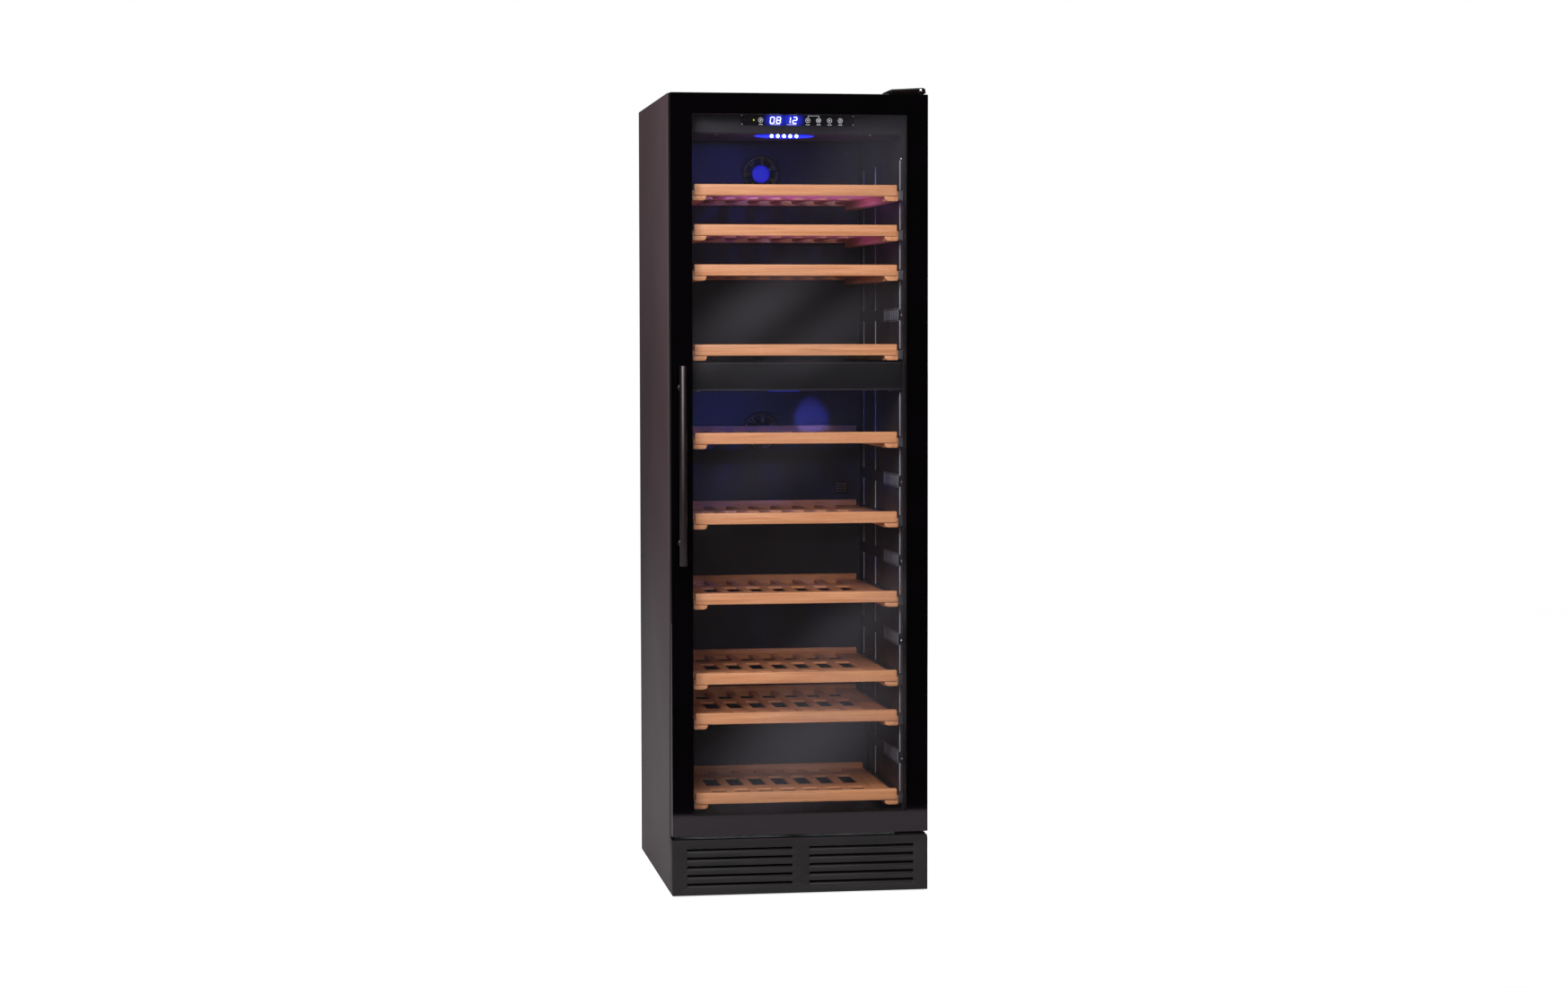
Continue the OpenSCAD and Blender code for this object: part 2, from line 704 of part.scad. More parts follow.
// The lowest shelf stops in front of the compressor step
function shelf_end(i) = (shelf_tops[i] - runner_drop - rail_h < step_z ? step_y : back_y) - shelf_back_gap;

// Beech rack: front rail, stop rail, two side runners and the slatted deck between them
module shelf(i) color("#d9905f") placed() translate([0, 0, shelf_tops[i]]) {
    y_end = shelf_end(i);
    y_deck = shelf_y + rail_t;
    deck_x = runner_x - runner_w;
    deck_len = y_end - back_rail_t - y_deck - 2 * seam;
    hole_len = (shelf_end(0) - back_rail_t - y_deck - 2 * seam - 2 * slat_w) / 3;
    members = floor((deck_x + member_pitch / 2 - member_w / 2) / member_pitch);
    block([-rail_x, shelf_y, -rail_h], [rail_x, y_deck, 0]);
    block([-rail_x, y_end - back_rail_t, -rail_h], [rail_x, y_end, 0]);
    pair() {
        block([deck_x + seam, y_deck + seam, -rail_h - runner_drop],
              [runner_x, y_end - back_rail_t - seam, -deck_drop]);
        block([deck_x + seam, shelf_y + 3, -rail_h - runner_drop], [runner_x, y_deck, -rail_h - seam]);
    }
    translate([0, y_deck + seam, -deck_drop - deck_t]) {
        for (y = [hole_len, 2 * hole_len + slat_w])
            translate([-deck_x, y, 0]) cube([2 * deck_x, slat_w, deck_t]);
        for (k = [1:members]) pair()
            translate([(k - 0.5) * member_pitch - member_w / 2, 0, 0]) cube([member_w, deck_len, deck_t]);
    }
}

// Depth taken by the slides of one shelf
function slide_end(i) = shelf_end(i) - 60;

// Inner slide members, carried by the shelf's side runners
module shelf_runners(i) color("#8b8d91") placed() translate([0, 0, shelf_tops[i] + slide_z]) {
    half = slide_h / 2 - rail_flange - slide_clear;
    pair() block([runner_x, shelf_y + 3, -half], [in_x - rail_flange - slide_clear, slide_end(i) - 6, half]);
}

// Outer slide members, C profiles screwed to the liner's side walls
module slide_rails() color("#8b8d91") placed()
    for (i = [0:SHELF_COUNT - 1]) translate([0, 0, shelf_tops[i] + slide_z]) pair() difference() {
        block([in_x - 7, shelf_y + 5, -slide_h / 2], [in_x, slide_end(i), slide_h / 2]);
        block([in_x - 8, shelf_y + 4, rail_flange - slide_h / 2],
              [in_x - rail_flange, slide_end(i) - 2, slide_h / 2 - rail_flange]);
    }

side_panel_left();
side_panel_right();
top_panel();
rear_panel();
compressor_cover();
base_frame();
front_frame();
inner_liner();
insulation();
zone_divider();
control_housing();
touch_panel();
light_strips();
air_grilles();
evaporators();
fan_motors();
upper_fan_rotor();
lower_fan_rotor();
compressor();
condenser();
condenser_fan_frame();
condenser_fan_rotor();
refrigerant_pipes();
drain_tray();
control_box();
mains_inlet();
plinth_grille();
front_foot_left();
front_foot_right();
hinge_brackets();
hinge_cover();
slide_rails();
door_frame();
outer_glass();
inner_glass();
glass_spacer();
door_gasket();
handle_bar();
handle_posts();
hinge_bushes();
for (i = [1:SHELF_COUNT]) {
    shelf(i - 1);
    shelf_runners(i - 1);
}
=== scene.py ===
import math

import bmesh
import bpy
from bpy.props import FloatProperty, FloatVectorProperty, IntProperty, PointerProperty
from mathutils import Matrix, Vector


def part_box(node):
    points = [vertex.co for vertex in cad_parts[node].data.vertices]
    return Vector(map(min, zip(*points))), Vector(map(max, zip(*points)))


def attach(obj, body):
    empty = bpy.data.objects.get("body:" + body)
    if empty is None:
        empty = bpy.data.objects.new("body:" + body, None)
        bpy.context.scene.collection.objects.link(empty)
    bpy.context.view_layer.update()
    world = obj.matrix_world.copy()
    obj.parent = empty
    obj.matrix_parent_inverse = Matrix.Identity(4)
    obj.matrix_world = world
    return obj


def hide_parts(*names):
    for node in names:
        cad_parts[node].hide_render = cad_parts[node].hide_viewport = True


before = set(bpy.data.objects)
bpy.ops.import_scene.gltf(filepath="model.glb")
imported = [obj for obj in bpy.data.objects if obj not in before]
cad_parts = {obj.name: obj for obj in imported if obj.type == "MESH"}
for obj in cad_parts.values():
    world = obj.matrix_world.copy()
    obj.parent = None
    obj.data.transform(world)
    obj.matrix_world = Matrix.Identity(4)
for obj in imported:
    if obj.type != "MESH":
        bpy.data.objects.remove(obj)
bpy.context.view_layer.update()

bl_info = {
    "name": "Two-zone bottle cooler",
    "version": (1, 0, 0),
    "blender": (4, 5, 0),
    "location": "View3D > Sidebar > Cooler",
    "description": "Builds the looks of a tall two-zone bottle cooler around its packed frame",
    "category": "Object",
}

# Places that several pieces share, read from the frame
GLASS_LOW, GLASS_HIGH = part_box("outer_glass")
DIVIDER_LOW, DIVIDER_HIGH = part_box("zone_divider")
HOUSING_LOW, HOUSING_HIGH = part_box("control_housing")
PANEL_LOW, PANEL_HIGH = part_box("touch_panel")
FRAME_LOW, FRAME_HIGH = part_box("front_frame")
LINER_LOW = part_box("inner_liner")[0]
SHELVES = [f"shelf_{number}" for number in range(1, 11)]
INNER_X = DIVIDER_HIGH.x
BACK_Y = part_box("air_grilles")[1].y
FLOOR_Z = LINER_LOW.z + 0.008
CEILING_Z = HOUSING_HIGH.z
# Shelf sizes in metres: the rails' height and thickness, the deck's drop under the rail, and its half width
RAIL_H, RAIL_T, BACK_RAIL_T, DECK_DROP, DECK_X = 0.026, 0.018, 0.014, 0.014, 0.207
# How far the blocks and side runners reach down under a rail's top, and where they start across
BLOCK_H, RUNNER_X = 0.037, 0.2071
# How far the wall's raised fields stop above and under a slot's level
PAD_ABOVE, PAD_UNDER = 0.011, 0.037


def middle_of(node):
    """Middle of a CAD node's box."""
    low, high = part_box(node)
    return (Vector(low) + Vector(high)) / 2


def slot_levels():
    """Height of every shelf slot, top zone first: the fitted shelves and the empty slots between them."""
    tops = [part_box(name)[1].z for name in SHELVES]
    upper = [tops[0] + (tops[3] - tops[0]) * step / 4 for step in range(5)]
    lower = [tops[4] + (tops[9] - tops[4]) * step / 9 for step in range(10)]
    return upper, lower


# ---------------------------------------------------------------- colour and nodes


def linear(code):
    """An sRGB hex colour such as '#d9a273' as linear red, green, blue and alpha."""
    parts = [int(code[at : at + 2], 16) / 255 for at in (1, 3, 5)]
    return tuple(c / 12.92 if c <= 0.04045 else ((c + 0.055) / 1.055) ** 2.4 for c in parts) + (1.0,)


def add_node(tree, kind, links=None, **settings):
    """Adds a node. settings are its own properties, links its inputs: a socket to join, or a constant."""
    node = tree.nodes.new(kind)
    for name, value in settings.items():
        setattr(node, name, value)
    for name, value in (links or {}).items():
        if isinstance(value, bpy.types.NodeSocket):
            tree.links.new(value, node.inputs[name])
        else:
            node.inputs[name].default_value = value
    return node


def new_finish(name, **constants):
    """A material with a Principled shader whose sockets take the constants given."""
    finish = bpy.data.materials.new(name)
    finish.use_nodes = True
    shader = finish.node_tree.nodes["Principled BSDF"]
    for socket, value in constants.items():
        shader.inputs[socket.replace("_", " ")].default_value = value
    return finish, finish.node_tree, shader


def object_grain(tree, cells, detail=3.0, stretch=(1, 1, 1), rough=0.55):
    """Noise on Object coordinates with that many cells per metre."""
    place = add_node(tree, "ShaderNodeTexCoord").outputs["Object"]
    turned = add_node(tree, "ShaderNodeMapping", {"Vector": place, "Scale": stretch})
    return add_node(
        tree,
        "ShaderNodeTexNoise",
        {"Vector": turned.outputs["Vector"], "Scale": cells, "Detail": detail, "Roughness": rough},
    ).outputs["Fac"]


def tone(tree, shader, factor, dark, light, low=0.3, high=0.7):
    """Colours the shader between two tones as factor goes from low to high."""
    spread = add_node(tree, "ShaderNodeMapRange", {"Value": factor, "From Min": low, "From Max": high})
    mix = add_node(
        tree,
        "ShaderNodeMix",
        {0: spread.outputs["Result"], 6: linear(dark), 7: linear(light)},
        data_type="RGBA",
    )
    tree.links.new(mix.outputs[2], shader.inputs["Base Color"])
    return mix


def vary_roughness(tree, shader, factor, low, high):
    spread = add_node(
        tree,
        "ShaderNodeMapRange",
        {"Value": factor, "From Min": 0.25, "From Max": 0.75, "To Min": low, "To Max": high},
    )
    tree.links.new(spread.outputs["Result"], shader.inputs["Roughness"])


def raise_surface(tree, shader, factor, depth, strength=1.0):
    bump = add_node(tree, "ShaderNodeBump", {"Height": factor, "Distance": depth, "Strength": strength})
    tree.links.new(bump.outputs["Normal"], shader.inputs["Normal"])


def moulded_plastic(name, dark, light, rough, grain=1.2, depth=0.00004):
    """Injection-moulded ABS: a fine spark-eroded grain from the tool, slightly uneven gloss."""
    finish, tree, shader = new_finish(name, IOR=1.53, Specular_IOR_Level=0.15)
    broad = object_grain(tree, 9.0)
    fine = object_grain(tree, 1000.0 / grain, 2.0)
    tone(tree, shader, broad, dark, light)
    vary_roughness(tree, shader, broad, rough - 0.05, rough + 0.06)
    raise_surface(tree, shader, fine, depth)
    return finish


def baked_paint(name, dark, light, rough, peel=3.5, depth=0.00003):
    """Powder coat on sheet steel: soft orange peel a few millimetres across, satin gloss."""
    finish, tree, shader = new_finish(name, IOR=1.5, Specular_IOR_Level=0.1)
    broad = object_grain(tree, 2.2, 4.0)
    fine = object_grain(tree, 1000.0 / peel, 2.0)
    tone(tree, shader, broad, dark, light)
    vary_roughness(tree, shader, broad, rough - 0.04, rough + 0.05)
    raise_surface(tree, shader, fine, depth)
    return finish


def rolled_metal(name, dark, light, rough, stretch=(1, 1, 1), grain=2.0, depth=0.00002):
    """Bare or plated metal: rolling lines along one way, tone and gloss that wander a little."""
    finish, tree, shader = new_finish(name, Metallic=1.0)
    broad = object_grain(tree, 14.0, 4.0)
    lines = object_grain(tree, 1000.0 / grain, 3.0, stretch)
    tone(tree, shader, broad, dark, light)
    vary_roughness(tree, shader, lines, rough - 0.08, rough + 0.08)
    raise_surface(tree, shader, lines, depth)
    return finish


def planed_beech(name, along):
    """Planed beech under clear oil: growth rings about 4 mm apart and short brown flecks along the grain."""
    finish, tree, shader = new_finish(name, IOR=1.48)
    place = add_node(tree, "ShaderNodeTexCoord").outputs["Object"]
    long_way = [1.0 if axis == along else 30.0 for axis in range(3)]
    rings_at = add_node(tree, "ShaderNodeMapping", {"Vector": place, "Scale": long_way})
    rings = add_node(
        tree,
        "ShaderNodeTexNoise",
        {
            "Vector": rings_at.outputs["Vector"],
            "Scale": 5.0,
            "Detail": 5.0,
            "Roughness": 0.6,
            "Distortion": 0.35,
        },
    ).outputs["Fac"]
    fleck_way = [1.0 if axis == along else 9.0 for axis in range(3)]
    flecks_at = add_node(tree, "ShaderNodeMapping", {"Vector": place, "Scale": fleck_way})
    flecks = add_node(
        tree, "ShaderNodeTexNoise", {"Vector": flecks_at.outputs["Vector"], "Scale": 190.0, "Detail": 1.0}
    ).outputs["Fac"]
    wood = tone(tree, shader, rings, "#c98250", "#f0b07c", 0.28, 0.72)
    spots = add_node(
        tree, "ShaderNodeMapRange", {"Value": flecks, "From Min": 0.62, "From Max": 0.74, "To Max": 0.55}
    )
    mix = add_node(
        tree,
        "ShaderNodeMix",
        {0: spots.outputs["Result"], 6: wood.outputs[2], 7: linear("#94603d")},
        data_type="RGBA",
    )
    tree.links.new(mix.outputs[2], shader.inputs["Base Color"])
    vary_roughness(tree, shader, rings, 0.42, 0.58)
    raise_surface(tree, shader, rings, 0.0003, 0.5)
    return finish


def clear_pane(name, tint, body, share, painted_reflections=()):
    """Float glass seen through: tint of what is behind, with a share of mirror-smooth front face over it.
    The last argument lists soft streaks of painted reflection that lie across it, each x, z, length, width
    and strength: the lit grey body shows more along each streak."""
    finish, tree, shader = new_finish(name, Roughness=0.03, IOR=1.52)
    shader.inputs["Base Color"].default_value = linear(body)
    through = add_node(tree, "ShaderNodeBsdfTransparent", {"Color": linear(tint)})
    mix = add_node(
        tree, "ShaderNodeMixShader", {0: share, 1: through.outputs["BSDF"], 2: shader.outputs["BSDF"]}
    )
    place = add_node(tree, "ShaderNodeTexCoord").outputs["Object"]
    reflection_streak_mask = None
    for x, z, reach, width, strength in painted_reflections:
        # each painted reflection streak runs up to the right, and fades smoothly from its middle line
        local = add_node(
            tree,
            "ShaderNodeMapping",
            {
                "Vector": place,
                "Location": (x, 0.0, z),
                "Rotation": (0.0, math.radians(-32), 0.0),
                "Scale": (reach, 50.0, width),
            },
            vector_type="TEXTURE",
        )
        away = add_node(tree, "ShaderNodeVectorMath", {0: local.outputs["Vector"]}, operation="LENGTH")
        fade = add_node(
            tree,
            "ShaderNodeMapRange",
            {"Value": away.outputs["Value"], "From Max": 1.0, "To Min": strength, "To Max": 0.0},
            interpolation_type="SMOOTHSTEP",
        )
        reflection_streak_mask = fade.outputs["Result"] if reflection_streak_mask is None else add_node(
            tree, "ShaderNodeMath", {0: reflection_streak_mask, 1: fade.outputs["Result"]}, operation="ADD"
        ).outputs["Value"]
    # the streaks raise the share of the lit grey body over the tint: painted reflection on the glass
    if reflection_streak_mask is not None:
        whole = add_node(tree, "ShaderNodeMath", {0: reflection_streak_mask, 1: share}, operation="ADD", use_clamp=True)
        tree.links.new(whole.outputs["Value"], mix.inputs[0])
    out = tree.nodes["Material Output"]
    tree.links.new(mix.outputs["Shader"], out.inputs["Surface"])
    return finish


def glowing(name, shade, strength, body):
    """A lit lens: moulded acrylic that gives light of one colour, a little brighter in patches. On the fan
    hub, which is no lamp, the same glow is painted light.
    """
    finish, tree, shader = new_finish(name, Roughness=0.25, IOR=1.49)
    shader.inputs["Base Color"].default_value = linear(body)
    shader.inputs["Emission Strength"].default_value = strength
    cells = object_grain(tree, 90.0, 1.0)
    brighter = tuple(min(1.0, part * 1.35 + 0.02) for part in linear(shade)[:3]) + (1.0,)
    mix = add_node(tree, "ShaderNodeMix", {0: cells, 6: linear(shade), 7: brighter}, data_type="RGBA")
    tree.links.new(mix.outputs[2], shader.inputs["Emission Color"])
    return finish


# ---------------------------------------------------------------- shapes


def round_edges(bm, edges, size, segments=2):
    bm.edges.index_update()
    bmesh.ops.bevel(
        bm,
        geom=sorted(edges, key=lambda edge: edge.index),
        offset=size,
        offset_type="OFFSET",
        affect="EDGES",
        segments=segments,
        profile=0.5,
        material=-1,
        clamp_overlap=True,
    )


def paint(verts, material):
    faces = {face for vert in verts for face in vert.link_faces}
    for face in faces:
        face.material_index = material
    return faces


def add_block(bm, corner, other, bevel=0.0008, segments=2, material=0, turn=None):
    """A block between two opposite corners with softened edges. turn comes before the edges are softened."""
    corner, other = Vector(corner), Vector(other)
    verts = bmesh.ops.create_cube(bm, size=1.0)["verts"]
    bmesh.ops.scale(bm, vec=[abs(part) for part in other - corner], verts=verts)
    bmesh.ops.translate(bm, vec=(corner + other) / 2, verts=verts)
    if turn is not None:
        bmesh.ops.transform(bm, matrix=turn, verts=verts)
    faces = paint(verts, material)
    if bevel:
        round_edges(bm, {edge for face in faces for edge in face.edges}, bevel, segments)


def add_rod(bm, start, end, radius, sides=24, bevel=0.0004, material=0, tip=None):
    """A round rod between two points, with softened ends. tip is its end's radius, where that differs."""
    start, end = Vector(start), Vector(end)
    axis = end - start
    verts = bmesh.ops.create_cone(
        bm,
        cap_ends=True,
        segments=sides,
        radius1=radius,
        radius2=radius if tip is None else tip,
        depth=axis.length,
    )["verts"]
    place = Matrix.Translation((start + end) / 2) @ axis.to_track_quat("Z", "Y").to_matrix().to_4x4()
    bmesh.ops.transform(bm, matrix=place, verts=verts)
    faces = paint(verts, material)
    if bevel:
        round_edges(bm, {edge for face in faces if len(face.verts) > 4 for edge in face.edges}, bevel)


def add_lathe(bm, profile, centre, axis=(0, 0, 1), sides=40, material=0, closed=False):
    """Spins (radius, height) points once round an axis through centre."""
    old = set(bm.verts)
    verts = [bm.verts.new((radius, 0.0, height)) for radius, height in profile]
    edges = [bm.edges.new(pair) for pair in zip(verts, verts[1:])]
    if closed:
        edges.append(bm.edges.new((verts[-1], verts[0])))
    bmesh.ops.spin(
        bm,
        geom=verts + edges,
        cent=(0, 0, 0),
        axis=(0, 0, 1),
        angle=math.tau,
        steps=sides,
        use_merge=True,
        use_duplicate=False,
    )
    bmesh.ops.remove_doubles(bm, verts=[vert for vert in bm.verts if vert not in old], dist=1e-6)
    made = [vert for vert in bm.verts if vert not in old]
    faces = paint(made, material)
    bmesh.ops.recalc_face_normals(bm, faces=list(faces))
    place = Matrix.Translation(Vector(centre)) @ Vector(axis).to_track_quat("Z", "Y").to_matrix().to_4x4()
    bmesh.ops.transform(bm, matrix=place, verts=made)


def add_prism(bm, outline, axis, low, high, bevel=0.0, segments=2, material=0, keep=None):
    """Draws an outline in the two other axes and pulls it from low to high along axis. keep picks edges."""
    across = [way for way in range(3) if way != axis]
    verts = []
    for point in outline:
        place = [0.0, 0.0, 0.0]
        place[across[0]], place[across[1]], place[axis] = point[0], point[1], low
        verts.append(bm.verts.new(place))
    made = bmesh.ops.extrude_face_region(bm, geom=[bm.faces.new(verts)])
    moved = [item for item in made["geom"] if isinstance(item, bmesh.types.BMVert)]
    shift = [0.0, 0.0, 0.0]
    shift[axis] = high - low
    bmesh.ops.translate(bm, vec=shift, verts=moved)
    faces = paint(verts + moved, material)
    bmesh.ops.recalc_face_normals(bm, faces=list(faces))
    if bevel:
        edges = {edge for face in faces for edge in face.edges if keep is None or keep(edge)}
        round_edges(bm, edges, bevel, segments)


def add_frame(bm, profile, half_x, low_z, high_z, material=0):
    """Runs a closed profile of (inset, y) points round an upright rectangle, mitred at its corners."""
    old = set(bm.verts)
    rings = []
    for side, end in ((-1, -1), (1, -1), (1, 1), (-1, 1)):
        verts = [
            bm.verts.new((side * (half_x - inset), y, low_z + inset if end < 0 else high_z - inset))
            for inset, y in profile
        ]
        rings.append([bm.edges.new((verts[at - 1], verts[at])) for at in range(len(verts))])
    for at in range(4):
        bmesh.ops.bridge_loops(bm, edges=rings[at - 1] + rings[at])
    made = [vert for vert in bm.verts if vert not in old]
    bmesh.ops.recalc_face_normals(bm, faces=list(paint(made, material)))


def add_screw(bm, centre, axis, radius=0.004, material=0):
    """A pan-head screw with a round-bottomed socket, seated at centre and facing along axis."""
    profile = [
        (0.0, radius * 0.12), (radius * 0.34, radius * 0.12), (radius * 0.4, radius * 0.5),
        (radius * 0.72, radius * 0.42), (radius * 0.95, radius * 0.22), (radius, 0.0),
    ]
    add_lathe(bm, profile, centre, axis, 16, material)


def new_object(name, bm):
    """Turns the bmesh into an object in the scene, and frees it."""
    mesh = bpy.data.meshes.new(name)
    bm.to_mesh(mesh)
    bm.free()
    made = bpy.data.objects.new(name, mesh)
    bpy.context.scene.collection.objects.link(made)
    return made


def finish_piece(name, bm, body, finishes, replaces=(), smooth=38.0):
    """Makes the bmesh a finished piece that rides on a body and stands for the CAD nodes named."""
    piece = new_object(name, bm)
    for finish in finishes:
        piece.data.materials.append(bpy.data.materials[finish])
    piece.data.shade_smooth()
    piece.data.set_sharp_from_angle(angle=math.radians(smooth))
    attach(piece, body)
    if replaces:
        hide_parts(*replaces)
    return piece


def cut_away(piece, bm):
    """Cuts the closed shapes in bm out of a piece's mesh, for good."""
    cutter = new_object("cutter", bm)
    mesh = cutter.data
    modifier = piece.modifiers.new("openings", "BOOLEAN")
    modifier.operation = "DIFFERENCE"
    modifier.solver = "EXACT"
    modifier.object = cutter
    bpy.context.view_layer.update()
    cut = bpy.data.meshes.new_from_object(piece.evaluated_get(bpy.context.evaluated_depsgraph_get()))
    piece.modifiers.clear()
    old, piece.data = piece.data, cut
    bpy.data.meshes.remove(old)
    bpy.data.objects.remove(cutter)
    bpy.data.meshes.remove(mesh)


def is_sharp(edge, angle=1.0):
    return len(edge.link_faces) == 2 and edge.calc_face_angle() > angle


# ---------------------------------------------------------------- what a user may change


def length(name, description, default):
    return FloatProperty(name=name, description=description, default=default, unit="LENGTH")


def power(name, description, default):
    return FloatProperty(name=name, description=description, default=default, unit="POWER")


def colour(name, description, default):
    return FloatVectorProperty(name=name, description=description, default=default, subtype="COLOR")


class CoolerSizes(bpy.types.PropertyGroup):
    """Sizes of the trim that the frame doesn't fix."""

    fold: length("Panel fold", "Width of the side panels' front fold", 0.0115)
    border: length("Glass border", "Width of the black printed border at the sides", 0.0495)
    border_top: length("Top border", "Height of the printed border at the top", 0.047)
    border_foot: length("Foot border", "Height of the printed border at the foot", 0.049)
    member_pitch: length("Slat pitch", "Spacing of the shelf members", 0.055)
    member: length("Slat width", "Width of a shelf member", 0.020)
    cross_slat: length("Cross slat", "Width of the two cross slats", 0.055)
    step_depth: length("Step depth", "Depth of the step over the machine bay", 0.090)
    step_height: length("Step height", "Height of that step over the floor", 0.154)
    louvres: IntProperty(name="Louvres", description="Louvres in each plinth group", default=5, min=1, max=8)
    louvre_pitch: length("Louvre pitch", "Spacing of the plinth louvres", 0.020)


class CoolerColours(bpy.types.PropertyGroup):
    """Colours and strengths of the lit parts and the studio."""

    lamp: colour("Lamp", "Colour that the lamps give", (0.10, 0.16, 1.0))
    bounce: colour("Bounce", "Colour of the light that bounces between shelves", (0.42, 0.16, 1.0))
    lamp_power: power("Lamp power", "Power of each lamp", 1.1)
    key_power: power("Key light", "Power of the front left softbox", 360.0)
    fill_power: power("Fill light", "Power of the high front softbox", 110.0)
    side_power: power("Side light", "Power of the left softbox", 5.0)


# ---------------------------------------------------------------- operators


class COOLER_OT_finishes(bpy.types.Operator):
    """Makes every material, named by its real finish"""

    bl_idname = "cooler.finishes"
    bl_label = "Finishes"

    def execute(self, context):
        # satin powder coat: broad soft highlight, fine orange peel
        baked_paint("Powder-coated steel, warm grey", "#3b2f32", "#423539", 0.55)
        # the same coat in a darker, flatter shade on the back
        baked_paint("Powder-coated steel, matt back", "#3a3537", "#433e40", 0.58, 2.5)
        # satin black coat on the front opening and the door frame
        baked_paint("Powder-coated steel, satin black", "#161314", "#1b1819", 0.5)
        baked_paint("Powder-coated aluminium, door frame", "#110f0e", "#161413", 0.6, 2.5)
        # zinc plate: grey, with cloudy bluish spangle
        rolled_metal("Zinc-plated steel", "#7f8287", "#a3a6a9", 0.38, (1, 1, 6))
        rolled_metal("Black zinc-plated steel", "#151416", "#222023", 0.35)
        rolled_metal("Galvanised slide steel", "#8b8d92", "#b4b5b8", 0.33, (6, 0.4, 6))
        rolled_metal("Bright screw steel", "#b7b9bd", "#dadbdd", 0.22)
        rolled_metal("Drawn copper", "#a8593a", "#c77a55", 0.30, (1, 1, 4))
        rolled_metal("Mill-finish aluminium", "#a9acb0", "#c6c8ca", 0.34, (1, 6, 1))
        rolled_metal("Black anodised spacer", "#161517", "#232124", 0.40)
        # brown-black anodised tube, bead-blasted then dyed: metal with a tight, even sheen
        rolled_metal("Anodised aluminium, dark bronze", "#322c2e", "#3b3537", 0.44, (8, 8, 0.5), 1.0)
        # ABS in the greys of the inside
        moulded_plastic("Moulded ABS, liner grey", "#2a282c", "#343337", 0.42)
        moulded_plastic("Moulded ABS, divider", "#0f0e10", "#151416", 0.45)
        moulded_plastic("Moulded ABS, light grey", "#6a6c74", "#787a82", 0.40)
        # pale grey for the wall pads' lips: a painted highlight on their front edges
        moulded_plastic("Moulded ABS, pale grey, painted edge highlight", "#a0a2aa", "#b0b2ba", 0.40)
        moulded_plastic("Moulded ABS, grille black", "#121113", "#1b1a1d", 0.38)
        moulded_plastic("Moulded ABS, plinth", "#0f0d0e", "#141112", 0.55, 1.6, 0.00002)
        moulded_plastic("Moulded ABS, gloss black", "#060303", "#0a0606", 0.14, 4.0, 0.00001)
        moulded_plastic("Moulded PP, black", "#121213", "#1c1c1e", 0.5)
        moulded_plastic("Moulded nylon", "#cfcbc0", "#dedad0", 0.45)
        moulded_plastic("Extruded PVC, gasket", "#141314", "#1e1d1e", 0.55, 2.0)
        moulded_plastic("Moulded PP, fan", "#1a1a1d", "#242428", 0.35)
        moulded_plastic("Enamelled compressor steel", "#0f0f10", "#19191a", 0.25, 5.0)
        moulded_plastic("Rigid polyurethane foam", "#c9b276", "#dcc68b", 0.85, 2.5, 0.0004)
        planed_beech("Planed beech, grain across", 0)
        planed_beech("Planed beech, grain front to back", 1)
        # the glass: a tinted pane, its opaque fired border, and the clear inner pane
        # soft diagonal streaks of painted reflection across the tinted pane, each x, z, length, width and
        # strength
        painted_reflection_streaks = (
            (0.18, 1.70, 0.26, 0.15, 0.035),
            (-0.10, 1.345, 0.26, 0.10, 0.055),
            (0.08, 1.30, 0.28, 0.09, 0.035),
            (-0.08, 0.985, 0.30, 0.12, 0.02),
            (0.14, 0.62, 0.30, 0.10, 0.045),
            (0.02, 0.36, 0.36, 0.18, 0.09),
        )
        clear_pane("Tinted float glass, painted reflection streaks", "#f2eff2", "#66646a", 0.010, painted_reflection_streaks)
        clear_pane("Clear float glass", "#f6f8f7", "#101312", 0.03)
        gloss = {"Roughness": 0.04, "IOR": 1.52, "Specular_IOR_Level": 0.29}
        _, tree, shader = new_finish("Fired black glass border", **gloss)
        shader.inputs["Specular Tint"].default_value = (1.0, 0.86, 0.95, 1.0)
        tone(tree, shader, object_grain(tree, 6.0), "#010101", "#020102")
        raise_surface(tree, shader, object_grain(tree, 3.0, 1.0), 0.00002)
        # the touch panel: gloss black acrylic, with light that leaks round the two displays
        _, tree, shader = new_finish("Gloss black acrylic", Roughness=0.08, IOR=1.49)
        tone(tree, shader, object_grain(tree, 40.0), "#0b0b0d", "#101013")
        place = add_node(tree, "ShaderNodeTexCoord").outputs["Object"]
        glow = None
        for x in (-0.045, -0.006):
            near = add_node(
                tree,
                "ShaderNodeVectorMath",
                {0: place, 1: (x, PANEL_LOW.y, (PANEL_LOW.z + PANEL_HIGH.z) / 2)},
                operation="DISTANCE",
            )
            fade = add_node(
                tree,
                "ShaderNodeMapRange",
                {
                    "Value": near.outputs["Value"],
                    "From Min": 0.007,
                    "From Max": 0.032,
                    "To Min": 1.0,
                    "To Max": 0.0,
                },
                interpolation_type="SMOOTHSTEP",
            )
            glow = fade.outputs["Result"] if glow is None else add_node(
                tree, "ShaderNodeMath", {0: glow, 1: fade.outputs["Result"]}, operation="MAXIMUM"
            ).outputs["Value"]
        lit = add_node(
            tree, "ShaderNodeMix", {0: glow, 6: (0.0, 0.0, 0.0, 1.0), 7: linear("#2331d8")}, data_type="RGBA"
        )
        tree.links.new(lit.outputs[2], shader.inputs["Emission Color"])
        shader.inputs["Emission Strength"].default_value = 1.5
        glowing("Lit digits, white-blue", "#e8f1ff", 2.6, "#cfd8ff")
        glowing("Lit icons, grey print", "#d6d8dc", 1.2, "#8e9096")
        glowing("Lit indicator, yellow-green", "#c7d419", 1.6, "#a0ad14")
        glowing("Lamp lens, blue", "#1018f4", 1.0, "#3040ff")
        glowing("Lamp lens, clouded", "#1a22c0", 0.35, "#2028a0")
